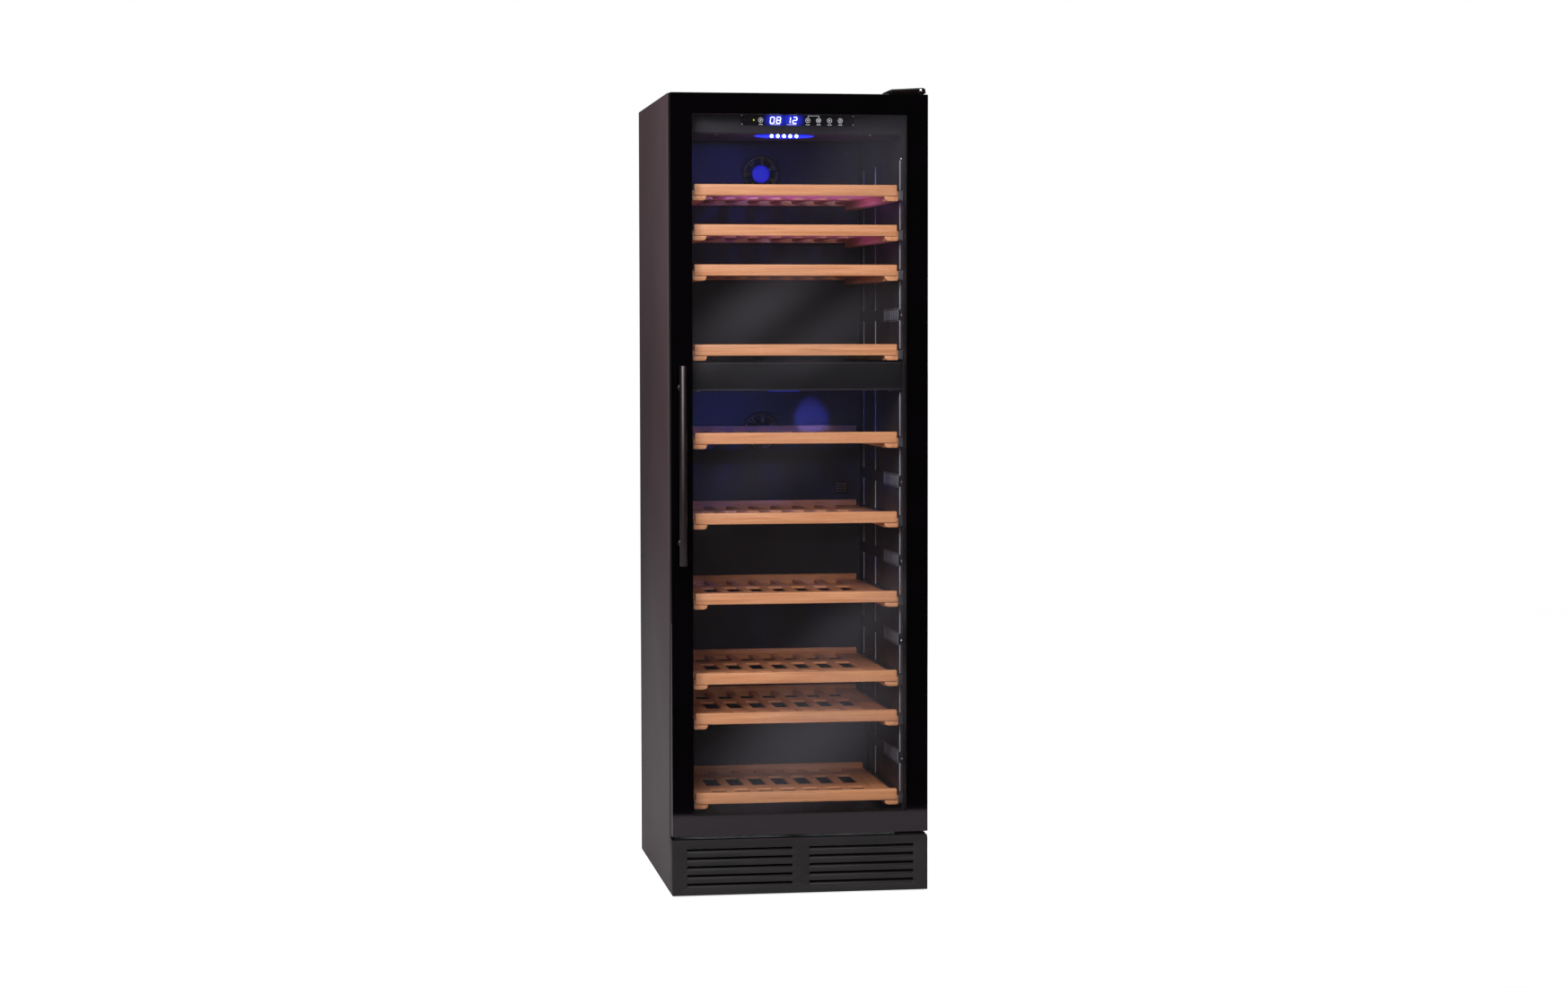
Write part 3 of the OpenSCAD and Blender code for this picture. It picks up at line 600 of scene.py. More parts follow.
        # the fan hub glows blue: a painted glow of the lamps' light falling on it, since the hub is no lamp
        glowing("Fan hub, painted blue lamp glow", "#0f0dc4", 1.0, "#141428")
        glowing("Lamp cells, white-cyan", "#dff6ff", 7.0, "#dff6ff")
        return {"FINISHED"}


class COOLER_OT_frame_finishes(bpy.types.Operator):
    """Gives each CAD node that stays its real finish"""

    bl_idname = "cooler.frame_finishes"
    bl_label = "Frame finishes"

    STAYS = {
        "Zinc-plated steel": ("base_frame", "fan_motors"),
        "Powder-coated steel, matt back": ("compressor_cover",),
        "Mill-finish aluminium": ("condenser", "evaporators"),
        "Moulded PP, fan": (
            "condenser_fan_frame", "condenser_fan_rotor", "lower_fan_rotor", "upper_fan_rotor"
        ),
        "Moulded PP, black": ("control_box", "drain_tray", "mains_inlet"),
        "Black anodised spacer": ("glass_spacer",),
        "Black zinc-plated steel": ("hinge_brackets",),
        "Moulded nylon": ("hinge_bushes",),
        "Clear float glass": ("inner_glass",),
        "Rigid polyurethane foam": ("insulation",),
        "Drawn copper": ("refrigerant_pipes",),
        "Galvanised slide steel": ("slide_rails",) + tuple(f"{name}_runners" for name in SHELVES),
    }

    def execute(self, context):
        for finish, nodes in self.STAYS.items():
            for node in nodes:
                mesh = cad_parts[node].data
                mesh.materials.clear()
                mesh.materials.append(bpy.data.materials[finish])
        return {"FINISHED"}


class COOLER_OT_shell(bpy.types.Operator):
    """Folded side panels, top panel and the front opening's frame"""

    bl_idname = "cooler.shell"
    bl_label = "Shell"

    def execute(self, context):
        sizes = context.scene.cooler_sizes
        for node, side in (("side_panel_left", -1), ("side_panel_right", 1)):
            self.side_panel(node, side, sizes.fold)
        self.top_panel()
        bm = bmesh.new()
        inner = FRAME_HIGH.x - INNER_X - 0.0105
        front, rear = FRAME_LOW.y + 0.0001, FRAME_HIGH.y
        profile = [(0.0, rear), (0.0, front), (inner - 0.0012, front), (inner, front + 0.0009), (inner, rear)]
        add_frame(bm, profile, FRAME_HIGH.x - 0.0105, FRAME_LOW.z, FRAME_HIGH.z)
        finish_piece(
            "front_opening_frame",
            bm,
            "cabinet",
            ["Powder-coated steel, satin black"],
            ["front_frame"],
        )
        return {"FINISHED"}

    def side_panel(self, node, side, fold):
        low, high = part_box(node)
        outer = high.x if side > 0 else low.x
        inner = outer - side * fold
        bm = bmesh.new()
        add_block(bm, (outer, low.y, low.z), (inner, high.y, high.z), 0)
        drop = [face for face in bm.faces if abs(face.normal.z) > 0.9 or face.normal.x * side < -0.9]
        bmesh.ops.delete(bm, geom=drop, context="FACES")
        round_edges(bm, [edge for edge in bm.edges if len(edge.link_faces) == 2], 0.0022, 4)
        piece = finish_piece(
            f"{node}_sheet", bm, "cabinet", ["Powder-coated steel, warm grey"], [node]
        )
        wall = piece.modifiers.new("sheet", "SOLIDIFY")
        wall.thickness = 0.0009
        wall.offset = -1.0

    def top_panel(self):
        low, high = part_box("top_panel")
        bm = bmesh.new()
        add_block(bm, low, high, 0.0004, 2)
        for x in (low.x + 0.0225, low.x + 0.052):
            add_lathe(
                bm,
                [(0.0, 0.0016), (0.0062, 0.0014), (0.0075, 0.0006), (0.008, 0.0)],
                (x, low.y + 0.020, high.z),
                material=1,
                sides=28,
            )
        for x in (-0.22, 0.0, 0.22):
            add_screw(bm, (x, high.y - 0.012, high.z), (0, 0, 1), 0.004, 2)
        finish_piece(
            "top_panel_sheet",
            bm,
            "cabinet",
            ["Powder-coated steel, warm grey", "Moulded PP, black", "Black zinc-plated steel"],
            ["top_panel"],
        )


class COOLER_OT_back(bpy.types.Operator):
    """Pressed rear panel with its screws, and the screws of the machine bay cover"""

    bl_idname = "cooler.back"
    bl_label = "Back"

    def execute(self, context):
        low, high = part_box("rear_panel")
        bm = bmesh.new()
        # its lower edge reaches down to the machine bay cover
        add_block(bm, (low.x, low.y, low.z - 0.0018), high, 0.0)
        rear = [face for face in bm.faces if face.normal.y > 0.9]
        for thickness, depth in ((0.055, 0.0), (0.010, 0.0016), (0.018, 0.0), (0.006, -0.0010)):
            bmesh.ops.inset_region(bm, faces=rear, thickness=thickness, depth=depth, use_even_offset=True)
        round_edges(bm, [edge for edge in bm.edges if is_sharp(edge, 1.4)], 0.0003)
        for x in (low.x + 0.014, 0.0, high.x - 0.014):
            for z in (low.z + 0.016, high.z - 0.016):
                add_screw(bm, (x, high.y, z), (0, 1, 0), 0.0042, 1)
        for z in (0.60, 0.90, 1.20, 1.50):
            for x in (low.x + 0.014, high.x - 0.014):
                add_screw(bm, (x, high.y, z), (0, 1, 0), 0.0042, 1)
        finish_piece(
            "rear_panel_sheet",
            bm,
            "cabinet",
            ["Powder-coated steel, matt back", "Zinc-plated steel"],
            ["rear_panel"],
        )
        low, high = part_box("compressor_cover")
        bm = bmesh.new()
        for x in (low.x + 0.014, -0.09, 0.12, high.x - 0.014):
            add_screw(bm, (x, high.y, high.z - 0.012), (0, 1, 0), 0.0042)
        for x in (low.x + 0.014, high.x - 0.014):
            add_screw(bm, (x, high.y, low.z + 0.020), (0, 1, 0), 0.0042)
        finish_piece("cover_screws", bm, "cabinet", ["Zinc-plated steel"])
        return {"FINISHED"}


class COOLER_OT_plinth(bpy.types.Operator):
    """Moulded plinth with two groups of sloped louvres"""

    bl_idname = "cooler.plinth"
    bl_label = "Plinth"

    def execute(self, context):
        sizes = context.scene.cooler_sizes
        low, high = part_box("plinth_grille")
        front = low.y
        wall = 0.003
        bm = bmesh.new()
        outline = [
            (low.x, low.z), (high.x, low.z), (high.x, high.z - 0.006), (high.x - 0.0018, high.z - 0.0018),
            (high.x - 0.006, high.z), (low.x + 0.006, high.z), (low.x + 0.0018, high.z - 0.0018),
            (low.x, high.z - 0.006),
        ]
        add_prism(bm, outline, 1, front, front + wall, 0.0)
        plate = finish_piece(
            "plinth_louvre_panel", bm, "cabinet", ["Moulded ABS, plinth"], ["plinth_grille"]
        )
        slots = bmesh.new()
        groups = ((0.020, 0.2635), (-0.2635, -0.020))
        levels = [low.z + 0.018 + step * sizes.louvre_pitch for step in range(sizes.louvres)]
        for start, end in groups:
            for z in levels:
                self.slot_cutter(slots, start, end, z, z + 0.010, front)
        cut_away(plate, slots)
        bevel = plate.modifiers.new("moulded edges", "BEVEL")
        bevel.width = 0.0006
        bevel.segments = 2
        bevel.limit_method = "ANGLE"
        bevel.angle_limit = math.radians(50)
        bm = bmesh.new()
        for start, end in groups:
            for z in levels:
                # a blade that falls from the back of the slot to its lower lip and catches the light
                outline = [
                    (front + 0.0012, z + 0.0002), (front + 0.0040, z - 0.0012), (front + 0.0130, z + 0.0062),
                    (front + 0.0130, z + 0.0078), (front + 0.0024, z + 0.0030),
                ]
                add_prism(bm, outline, 0, start - 0.001, end + 0.001, 0.0004)
        # cheeks that run back to the cabinet, and the top flange
        for side in (-1, 1):
            edge = high.x * side
            corner = edge - side * 0.0025
            add_block(bm, (edge, front + wall + 0.0001, low.z), (corner, high.y, high.z - 0.0008), 0.0005)
        flange = (low.x + 0.003, front + wall + 0.0001, high.z - 0.0025)
        add_block(bm, flange, (high.x - 0.003, front + 0.019, high.z), 0.0005)
        for x in (-0.285, 0.285):
            add_screw(bm, (x, front + 0.002, low.z + 0.012), (0, -1, 0), 0.0035, 1)
        finish_piece(
            "plinth_blades_and_cheeks",
            bm,
            "cabinet",
            ["Moulded ABS, plinth", "Black zinc-plated steel"],
        )
        return {"FINISHED"}

    def slot_cutter(self, bm, start, end, low, high, front):
        """A long slot with round lower ends."""
        r = 0.004
        outline = [(start, high), (start, low + r), (start + 0.0012, low + 0.0012), (start + r, low)]
        outline += [(end - r, low), (end - 0.0012, low + 0.0012), (end, low + r), (end, high)]
        add_prism(bm, outline, 1, front - 0.004, front + 0.008)


class COOLER_OT_liner(bpy.types.Operator):
    """Moulded liner with its step, fan openings, wall pads and slot patches"""

    bl_idname = "cooler.liner"
    bl_label = "Liner"

    def execute(self, context):
        sizes = context.scene.cooler_sizes
        front = LINER_LOW.y
        step_y = BACK_Y - sizes.step_depth
        step_z = FLOOR_Z + sizes.step_height
        bm = bmesh.new()
        outline = [
            (front, FLOOR_Z), (step_y, FLOOR_Z), (step_y, step_z), (BACK_Y, step_z), (BACK_Y, CEILING_Z),
            (front, CEILING_Z),
        ]
        add_prism(bm, outline, 0, -INNER_X, INNER_X)
        mouth = [face for face in bm.faces if all(abs(vert.co.y - front) < 1e-5 for vert in face.verts)]
        bmesh.ops.delete(bm, geom=mouth, context="FACES")
        round_edges(bm, [edge for edge in bm.edges if len(edge.link_faces) == 2], 0.007, 4)
        bmesh.ops.reverse_faces(bm, faces=bm.faces)
        bmesh.ops.solidify(bm, geom=bm.faces[:], thickness=0.0055)
        liner = finish_piece(
            "moulded_liner", bm, "cabinet", ["Moulded ABS, liner grey"], ["inner_liner"]
        )
        openings = bmesh.new()
        for node in ("upper_fan_rotor", "lower_fan_rotor"):
            z = middle_of(node).z
            add_rod(openings, (0, BACK_Y - 0.02, z), (0, BACK_Y + 0.03, z), 0.043, 48, 0)
        low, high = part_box("air_grilles")
        add_block(
            openings,
            (high.x - 0.034, BACK_Y - 0.02, low.z + 0.002),
            (high.x - 0.002, BACK_Y + 0.03, low.z + 0.027),
            0,
        )
        cut_away(liner, openings)
        self.wall_pads(step_y, step_z)
        return {"FINISHED"}

    def wall_pads(self, step_y, step_z):
        """Raised fields between the slots, the way they press out of the moulding tool, 1 mm proud."""
        upper, lower = slot_levels()
        bm = bmesh.new()
        columns = ((-0.2275, 0.0805), (0.0885, 0.2415), (0.2495, 0.2945))
        rows = [(upper[0] - PAD_ABOVE, upper[0] + 0.061)]
        for group in (upper, lower):
            rows += [(below - PAD_ABOVE, above - PAD_UNDER) for above, below in zip(group, group[1:])]
        rows.append((lower[0] - PAD_ABOVE, DIVIDER_LOW.z - 0.006))
        for side in (-1, 1):
            face = INNER_X * side
            near, far = face - side * 0.0010, face + side * 0.0004
            for z0, z1 in rows:
                for y0, y1 in columns:
                    end = min(y1, step_y - 0.008) if z0 < step_z else y1
                    if end - y0 > 0.01:
                        add_block(bm, (near, y0, z0), (far, end, z1), 0.0008)
                        # a pale lip down the front edge: a real narrow rib, whose pale colour is a painted
                        # highlight on that edge
                        lip = face - side * 0.0022
                        add_block(bm, (lip, y0 - 0.0002, z0), (far, y0 + 0.0022, z1), 0.0005, 2, 1)
        finish_piece(
            "wall_pads", bm, "cabinet", ["Moulded ABS, liner grey", "Moulded ABS, pale grey, painted edge highlight"]
        )
        bm = bmesh.new()
        empty = [upper[3]] + [lower[at] for at in (1, 3, 5, 8)]
        for side in (-1, 1):
            face = INNER_X * side
            for z in empty:
                near, far, rise = face - side * 0.0016, face + side * 0.0004, face - side * 0.0034
                y0, y1, z0, z1 = -0.2135, -0.0335, z - 0.0395, z - 0.0085
                add_block(bm, (near, y0, z0), (far, y1, z1), 0.0006)
                for rib in range(9):
                    y = -0.1975 + rib * 0.0185
                    add_block(bm, (rise, y - 0.0030, z - 0.036), (near, y + 0.0030, z - 0.012), 0.0008, 2, 1)
                rim = 0.0017
                for foot in (z0, z1 - rim):
                    add_block(bm, (rise, y0, foot), (near, y1, foot + rim), 0.0005, 2, 1)
                for start in (y0, y1 - rim):
                    add_block(bm, (rise, start, z0), (near, start + rim, z1), 0.0005, 2, 1)
        finish_piece(
            "slot_grip_plates",
            bm,
            "cabinet",
            ["Moulded ABS, grille black", "Moulded ABS, light grey"],
        )
        bm = bmesh.new()
        for side in (-1, 1):
            add_screw(bm, (side * (INNER_X - 0.0002), -0.2320, upper[0] + 0.061), (-side, 0, 0), 0.0045)
        # a pair high on the back wall, at the hinge side
        for z in (1.742, 1.735):
            add_screw(bm, (INNER_X - 0.035, BACK_Y - 0.0002, z), (0, -1, 0), 0.0025)
        for level in upper + lower:
            for side in (-1, 1):
                add_screw(bm, (side * (INNER_X - 0.0002), -0.2440, level - 0.024), (-side, 0, 0), 0.0035)
        finish_piece("liner_screws", bm, "cabinet", ["Bright screw steel"])


class COOLER_OT_divider(bpy.types.Operator):
    """Zone divider and the housing over the control panel"""

    bl_idname = "cooler.divider"
    bl_label = "Divider and housing"

    def execute(self, context):
        low, high = DIVIDER_LOW, DIVIDER_HIGH
        bm = bmesh.new()
        add_block(bm, (low.x + 0.0002, low.y, low.z), (high.x - 0.0002, high.y, high.z), 0.0022, 4)
        # pale liner-grey strips along the front's foot and top edges: painted highlights on those edges
        for z0, z1 in ((low.z + 0.0004, low.z + 0.0034), (high.z - 0.0034, high.z - 0.0004)):
            end = (high.x - 0.002, low.y + 0.002, z1)
            add_block(bm, (low.x + 0.002, low.y - 0.0012, z0), end, 0.0005, 2, 1)
        for side in (-1, 1):
            add_screw(bm, (side * 0.225, low.y + 0.018, low.z), (0, 0, -1), 0.004, 2)
        finish_piece(
            "zone_divider_shelf",
            bm,
            "cabinet",
            ["Moulded ABS, divider", "Moulded ABS, liner grey", "Bright screw steel"],
            ["zone_divider"],
        )
        low, high = HOUSING_LOW, HOUSING_HIGH
        bm = bmesh.new()
        outline = [
            (low.y, high.z - 0.0004), (low.y, low.z + 0.0022), (low.y + 0.0022, low.z),
            (high.y - 0.012, low.z), (high.y, low.z + 0.010), (high.y, high.z - 0.0004),
        ]
        add_prism(bm, outline, 0, low.x + 0.0002, high.x - 0.0002, 0.0008)
        for x in (-0.182, 0.178):
            add_screw(bm, (x, low.y + 0.010, low.z), (0, 0, -1), 0.0042, 1)
        finish_piece(
            "control_housing_cover",
            bm,
            "cabinet",
            ["Moulded ABS, liner grey", "Bright screw steel"],
            ["control_housing"],
        )
        return {"FINISHED"}


class COOLER_OT_control_panel(bpy.types.Operator):
    """Touch panel with two digit displays, rings and small marks"""

    bl_idname = "cooler.control_panel"
    bl_label = "Control panel"

    # which of its seven bars each digit lights: top, upper left and right, middle, lower left and right, foot
    BARS = {"0": "1110111", "1": "0010010", "2": "1011101", "8": "1111111"}

    def execute(self, context):
        front = PANEL_LOW.y
        bm = bmesh.new()
        add_block(bm, PANEL_LOW, PANEL_HIGH, 0.0005, 3)
        finish_piece(
            "touch_panel_slab", bm, "cabinet", ["Gloss black acrylic"], ["touch_panel"]
        )
        bm = bmesh.new()
        middle = PANEL_LOW.z + 0.0123
        for text, centres in (("08", (-0.0530, -0.0385)), ("12", (-0.0155, -0.0005))):
            for digit, x in zip(text, centres):
                self.digit(bm, digit, x, middle, front)
        finish_piece("display_digits", bm, "cabinet", ["Lit digits, white-blue"])
        bm = bmesh.new()
        for x in (-0.080, 0.0297, 0.0547, 0.0801, 0.1052):
            ring = [(0.0056, 0.0), (0.0056, 0.0003), (0.0047, 0.0003), (0.0047, 0.0)]
            add_lathe(bm, ring, (x, front, middle), (0, -1, 0), 28, closed=True)
            self.label(bm, x, 0.0046, front)
        for x in (-0.080, 0.0297):
            brow = middle + 0.0016
            self.mark(bm, [(x - 0.0026, brow), (x + 0.0026, brow), (x, middle - 0.0024)], front)
        for step in (-1, 0, 1):
            z = middle + step * 0.0018
            self.mark(bm, self.rectangle(0.0547, z, 0.0030, 0.0005), front)
        self.mark(bm, [(0.0785, middle + 0.0024), (0.0785, middle - 0.0024), (0.0826, middle)], front)
        arc = [(0.0028, 0.0), (0.0028, 0.0003), (0.0020, 0.0003), (0.0020, 0.0)]
        add_lathe(bm, arc, (0.1052, front, middle - 0.0003), (0, -1, 0), 24, closed=True)
        self.mark(bm, self.rectangle(0.1052, middle + 0.0022, 0.0004, 0.0018), front)
        # a bracket that joins two of the rings
        self.mark(bm, self.rectangle(0.0428, middle + 0.0105, 0.0131, 0.0004), front)
        for x in (0.0301, 0.0555):
            self.mark(bm, self.rectangle(x, middle + 0.0084, 0.0004, 0.0024), front)
        for x in (-0.046, -0.008):
            self.label(bm, x, 0.011, front)
        for x, z in ((-0.1235, 0.0235), (-0.1235, 0.003), (0.1355, 0.003), (0.1355, 0.0235)):
            add_rod(bm, (x, front, PANEL_LOW.z + z), (x, front - 0.0003, PANEL_LOW.z + z), 0.0009, 12, 0)
        finish_piece("panel_marks", bm, "cabinet", ["Lit icons, grey print"])
        bm = bmesh.new()
        dot = [(0.0, 0.0007), (0.0012, 0.0006), (0.0018, 0.0003), (0.0019, 0.0)]
        add_lathe(bm, dot, (-0.0959, front, middle), (0, -1, 0), 20)
        finish_piece("power_indicator", bm, "cabinet", ["Lit indicator, yellow-green"])
        return {"FINISHED"}

    def rectangle(self, x, z, half_x, half_z):
        return [(x + right * half_x, z + up * half_z) for right, up in ((-1, -1), (1, -1), (1, 1), (-1, 1))]

    def mark(self, bm, outline, front):
        add_prism(bm, outline, 1, front - 0.0003, front + 0.0001)

    def label(self, bm, x, half, front):
        """A plain dash where a caption would stand."""
        self.mark(bm, self.rectangle(x, PANEL_LOW.z + 0.0026, half, 0.0006), front)

    def digit(self, bm, digit, x, z, front):
        """A seven-bar digit 9 mm wide and 15 mm high, leaning a little."""
        wide, tall, bar = 0.0044, 0.0070, 0.00115
        flat = ((0, tall), (0, 0.0), (0, -tall))
        upright = ((-wide, tall / 2), (wide, tall / 2), (-wide, -tall / 2), (wide, -tall / 2))
        places = (flat[0], upright[0], upright[1], flat[1], upright[2], upright[3], flat[2])
        for at, (dx, dz) in enumerate(places):
            if self.BARS[digit][at] == "0":
                continue
            long_x = wide - 0.0006 if at in (0, 3, 6) else bar
            long_z = bar if at in (0, 3, 6) else tall / 2 - 0.0006
            lean = dz * 0.10
            self.mark(bm, self.rectangle(x + dx + lean, z + dz, long_x, long_z), front)


class COOLER_OT_lamps(bpy.types.Operator):
    """Lamp lenses under the housing and under the divider"""

    bl_idname = "cooler.lamps"
    bl_label = "Lamps"

    def execute(self, context):
        low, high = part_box("light_strips")
        bm = bmesh.new()
        top = HOUSING_LOW.z
        add_block(bm, (low.x, low.y, top - 0.003), (high.x, high.y, top), 0.0010, 3)
        middle, half = (low.x + high.x) / 2, (high.x - low.x) / 2 + 0.034
        turns = [step * math.tau / 32 for step in range(32)]
        oval = [(middle + half * math.cos(turn), top - 0.0042 + 0.0054 * math.sin(turn)) for turn in turns]
        add_prism(bm, oval, 1, low.y - 0.0016, low.y - 0.0002)
        for cell in range(5):
            x = low.x + (high.x - low.x) * (cell + 0.5) / 5
            dome = [(0.0, 0.0014), (0.0022, 0.0011), (0.0035, 0.0005), (0.0040, 0.0)]
            add_lathe(bm, dome, (x, low.y - 0.0015, top - 0.0042), (0, -1, 0), 20, 1)
        # the lower lens is clouded over its cells
        top = DIVIDER_LOW.z
        add_block(bm, (low.x, low.y, top - 0.003), (high.x, high.y, top), 0.0010, 3, 2)
        finish_piece(
            "lamp_lenses",
            bm,
            "cabinet",
            ["Lamp lens, blue", "Lamp cells, white-cyan", "Lamp lens, clouded"],
            ["light_strips"],
        )
        return {"FINISHED"}


class COOLER_OT_air_grilles(bpy.types.Operator):
    """Fan guards and the louvre on the back wall"""

    bl_idname = "cooler.air_grilles"
    bl_label = "Air grilles"

    def execute(self, context):
        low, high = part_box("air_grilles")
        bm = bmesh.new()
        for node in ("upper_fan_rotor", "lower_fan_rotor"):
            centre = Vector((0.0, BACK_Y, middle_of(node).z))
            rim = [(0.0489, 0.0), (0.0489, 0.0018), (0.0475, 0.0030)]
            rim += [(0.0440, 0.0030), (0.0425, 0.0018), (0.0425, 0.0)]
            add_lathe(bm, rim, centre, (0, -1, 0), 64, closed=True)
            for radius in (0.0385, 0.0335, 0.0285):
                outer, inner = radius + 0.0009, radius - 0.0009
                ring = [(outer, 0.0006), (outer, 0.0024), (inner, 0.0024), (inner, 0.0006)]
                add_lathe(bm, ring, centre, (0, -1, 0), 56, closed=True)
            hub = [(0.0, 0.0032), (0.006, 0.0032), (0.0066, 0.0026), (0.0080, 0.0026), (0.0086, 0.0031)]
            hub += [(0.0130, 0.0031), (0.0136, 0.0025), (0.0150, 0.0025), (0.0156, 0.0030), (0.0205, 0.0028)]
            hub += [(0.0220, 0.0016), (0.0220, 0.0002), (0.0, 0.0002)]
            # the upper hub takes the painted blue glow of the lamps' light; the lower hub is plain
            add_lathe(bm, hub, centre, (0, -1, 0), 56, 2 if node == "upper_fan_rotor" else 1)
            for spoke in range(6):
                turn = Matrix.Translation(centre) @ Matrix.Rotation(spoke * math.tau / 6 + 0.3, 4, "Y")
                add_block(bm, (-0.0012, -0.0020, 0.0205), (0.0012, -0.0006, 0.0440), 0.0004, 2, 0, turn)
        corner = (high.x, BACK_Y - 0.0002, low.z + 0.029)
        self.louvre(bm, (high.x - 0.036, low.y, low.z), corner)
        finish_piece(
            "air_grille_guards",
            bm,
            "cabinet",
            ["Moulded ABS, grille black", "Moulded ABS, divider", "Fan hub, painted blue lamp glow"],
            ["air_grilles"],
        )
        return {"FINISHED"}

    def louvre(self, bm, low, high):
        for x0, x1 in ((low[0], low[0] + 0.004), (high[0] - 0.004, high[0])):
            add_block(bm, (x0, low[1], low[2]), (x1, high[1], high[2]), 0.0005)
        span = high[2] - low[2]
        for row in range(5):
            z = low[2] + 0.0006 + row * (span - 0.0046) / 4
            end = (high[0] - 0.0036, high[1], z + 0.0034)
            add_block(bm, (low[0] + 0.0036, low[1] + 0.0003, z), end, 0.0005)


class COOLER_OT_shelves(bpy.types.Operator):
    """Ten beech shelves: rails, slotted deck, side runners and end blocks"""

    bl_idname = "cooler.shelves"
    bl_label = "Shelves"

    def execute(self, context):
        sizes = context.scene.cooler_sizes
        for name in SHELVES:
            low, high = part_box(name)
            bm = bmesh.new()
            rail_x = high.x - 0.003
            front, deck_front, back = low.y, low.y + RAIL_T, high.y
            top, deck_back = high.z, high.y - BACK_RAIL_T - 0.0002
            add_block(bm, (-rail_x, front, top - RAIL_H), (rail_x, deck_front, top), 0.0018, 3)
            add_block(bm, (-rail_x, back - BACK_RAIL_T, top - RAIL_H), (rail_x, back, top), 0.0018, 3)
            for side in (-1, 1):
                inner, outer = side * RUNNER_X, side * high.x
                start = (inner, deck_front + 0.0002, top - BLOCK_H)
                end = (outer, deck_back, top - DECK_DROP)
                add_block(bm, start, end, 0.0012, 2, 1)
                self.end_block(bm, side, outer, front + 0.003, deck_front, top)
            self.deck(bm, sizes, deck_front + 0.0001, deck_back, top - DECK_DROP - 0.006, top - DECK_DROP)
            finish_piece(
                f"{name}_beech",
                bm,
                name,
                ["Planed beech, grain across", "Planed beech, grain front to back"],
                [name],
            )
        return {"FINISHED"}

    def end_block(self, bm, side, outer, y0, y1, top):
        """The block under each end of the front rail, with a round inner corner."""
        z0, z1, r = top - BLOCK_H, top - RAIL_H - 0.0002, 0.008
        inner = side * RUNNER_X
        outline = [(outer, z1), (outer, z0 + 0.0015), (outer - side * 0.0015, z0), (inner + side * r, z0)]
        outline += [(inner + side * r * 0.3, z0 + r * 0.3), (inner, z0 + r), (inner, z1)]
        add_prism(bm, outline, 1, y0, y1, 0.0008, 2, 1)
        # the rail's outer end stands on the block and shows as a narrow step
        end = side * 0.2362
        add_block(bm, (end, y0, z1), (outer, y1, top - 0.0145), 0.0008, 2, 1)

    def deck(self, bm, sizes, y0, y1, z0, z1):
        """One slotted board: a plane cut on a grid, its slots removed, pulled up and softened."""
        old = set(bm.verts)
        made = bmesh.ops.create_grid(bm, x_segments=1, y_segments=1, size=0.5)["verts"]
        bmesh.ops.scale(bm, vec=(2 * DECK_X, y1 - y0, 1), verts=made)
        bmesh.ops.translate(bm, vec=(0, (y0 + y1) / 2, z0), verts=made)
        # the lowest board keeps the hole length of the others and is cut short at the back
        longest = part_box(SHELVES[0])
        hole = (longest[1].y - longest[0].y - RAIL_T - BACK_RAIL_T - 0.0003 - 2 * sizes.cross_slat) / 3
        members = [(step + 0.5) * sizes.member_pitch * side for step in range(4) for side in (-1, 1)]
        cuts_x = [x + side * sizes.member / 2 for x in members for side in (-1, 1)]
        cuts_y = []
        for start in (y0 + hole, y0 + 2 * hole + sizes.cross_slat):
            cuts_y += [start, start + sizes.cross_slat]
        planes = [((x, 0, 0), (1, 0, 0)) for x in cuts_x] + [((0, y, 0), (0, 1, 0)) for y in cuts_y]
        for place, normal in planes:
            board = self.fresh(bm, old)
            bmesh.ops.bisect_plane(bm, geom=board, dist=1e-6, plane_co=place, plane_no=normal)
        slots = []
        for face in self.faces_of(bm, old):
            centre = face.calc_center_median()
            in_member = any(abs(centre.x - x) < sizes.member / 2 for x in members)
            in_member = in_member or abs(centre.x) > max(cuts_x)
            in_slat = any(start < centre.y < end for start, end in zip(cuts_y[::2], cuts_y[1::2]))
            if not in_member and not in_slat:
                slots.append(face)
        bmesh.ops.delete(bm, geom=slots, context="FACES")
        board = self.faces_of(bm, old)
        for face in board:
            face.material_index = 0
        lifted = bmesh.ops.extrude_face_region(bm, geom=board)["geom"]
        raised = [item for item in lifted if isinstance(item, bmesh.types.BMVert)]
        bmesh.ops.translate(bm, vec=(0, 0, z1 - z0), verts=raised)
        faces = self.faces_of(bm, old)
        bmesh.ops.recalc_face_normals(bm, faces=faces)
        bmesh.ops.dissolve_limit(
            bm,
            angle_limit=0.01,
            verts=[vert for vert in bm.verts if vert not in old],
            edges=[edge for edge in bm.edges if edge.verts[0] not in old],
        )
        edges = {edge for face in self.faces_of(bm, old) for edge in face.edges if is_sharp(edge)}
        round_edges(bm, edges, 0.0009, 1)

    def fresh(self, bm, old):
        verts = [vert for vert in bm.verts if vert not in old]
        edges = [edge for edge in bm.edges if edge.verts[0] not in old]
        return verts + edges + self.faces_of(bm, old)

    def faces_of(self, bm, old):
        return [face for face in bm.faces if face.verts[0] not in old]


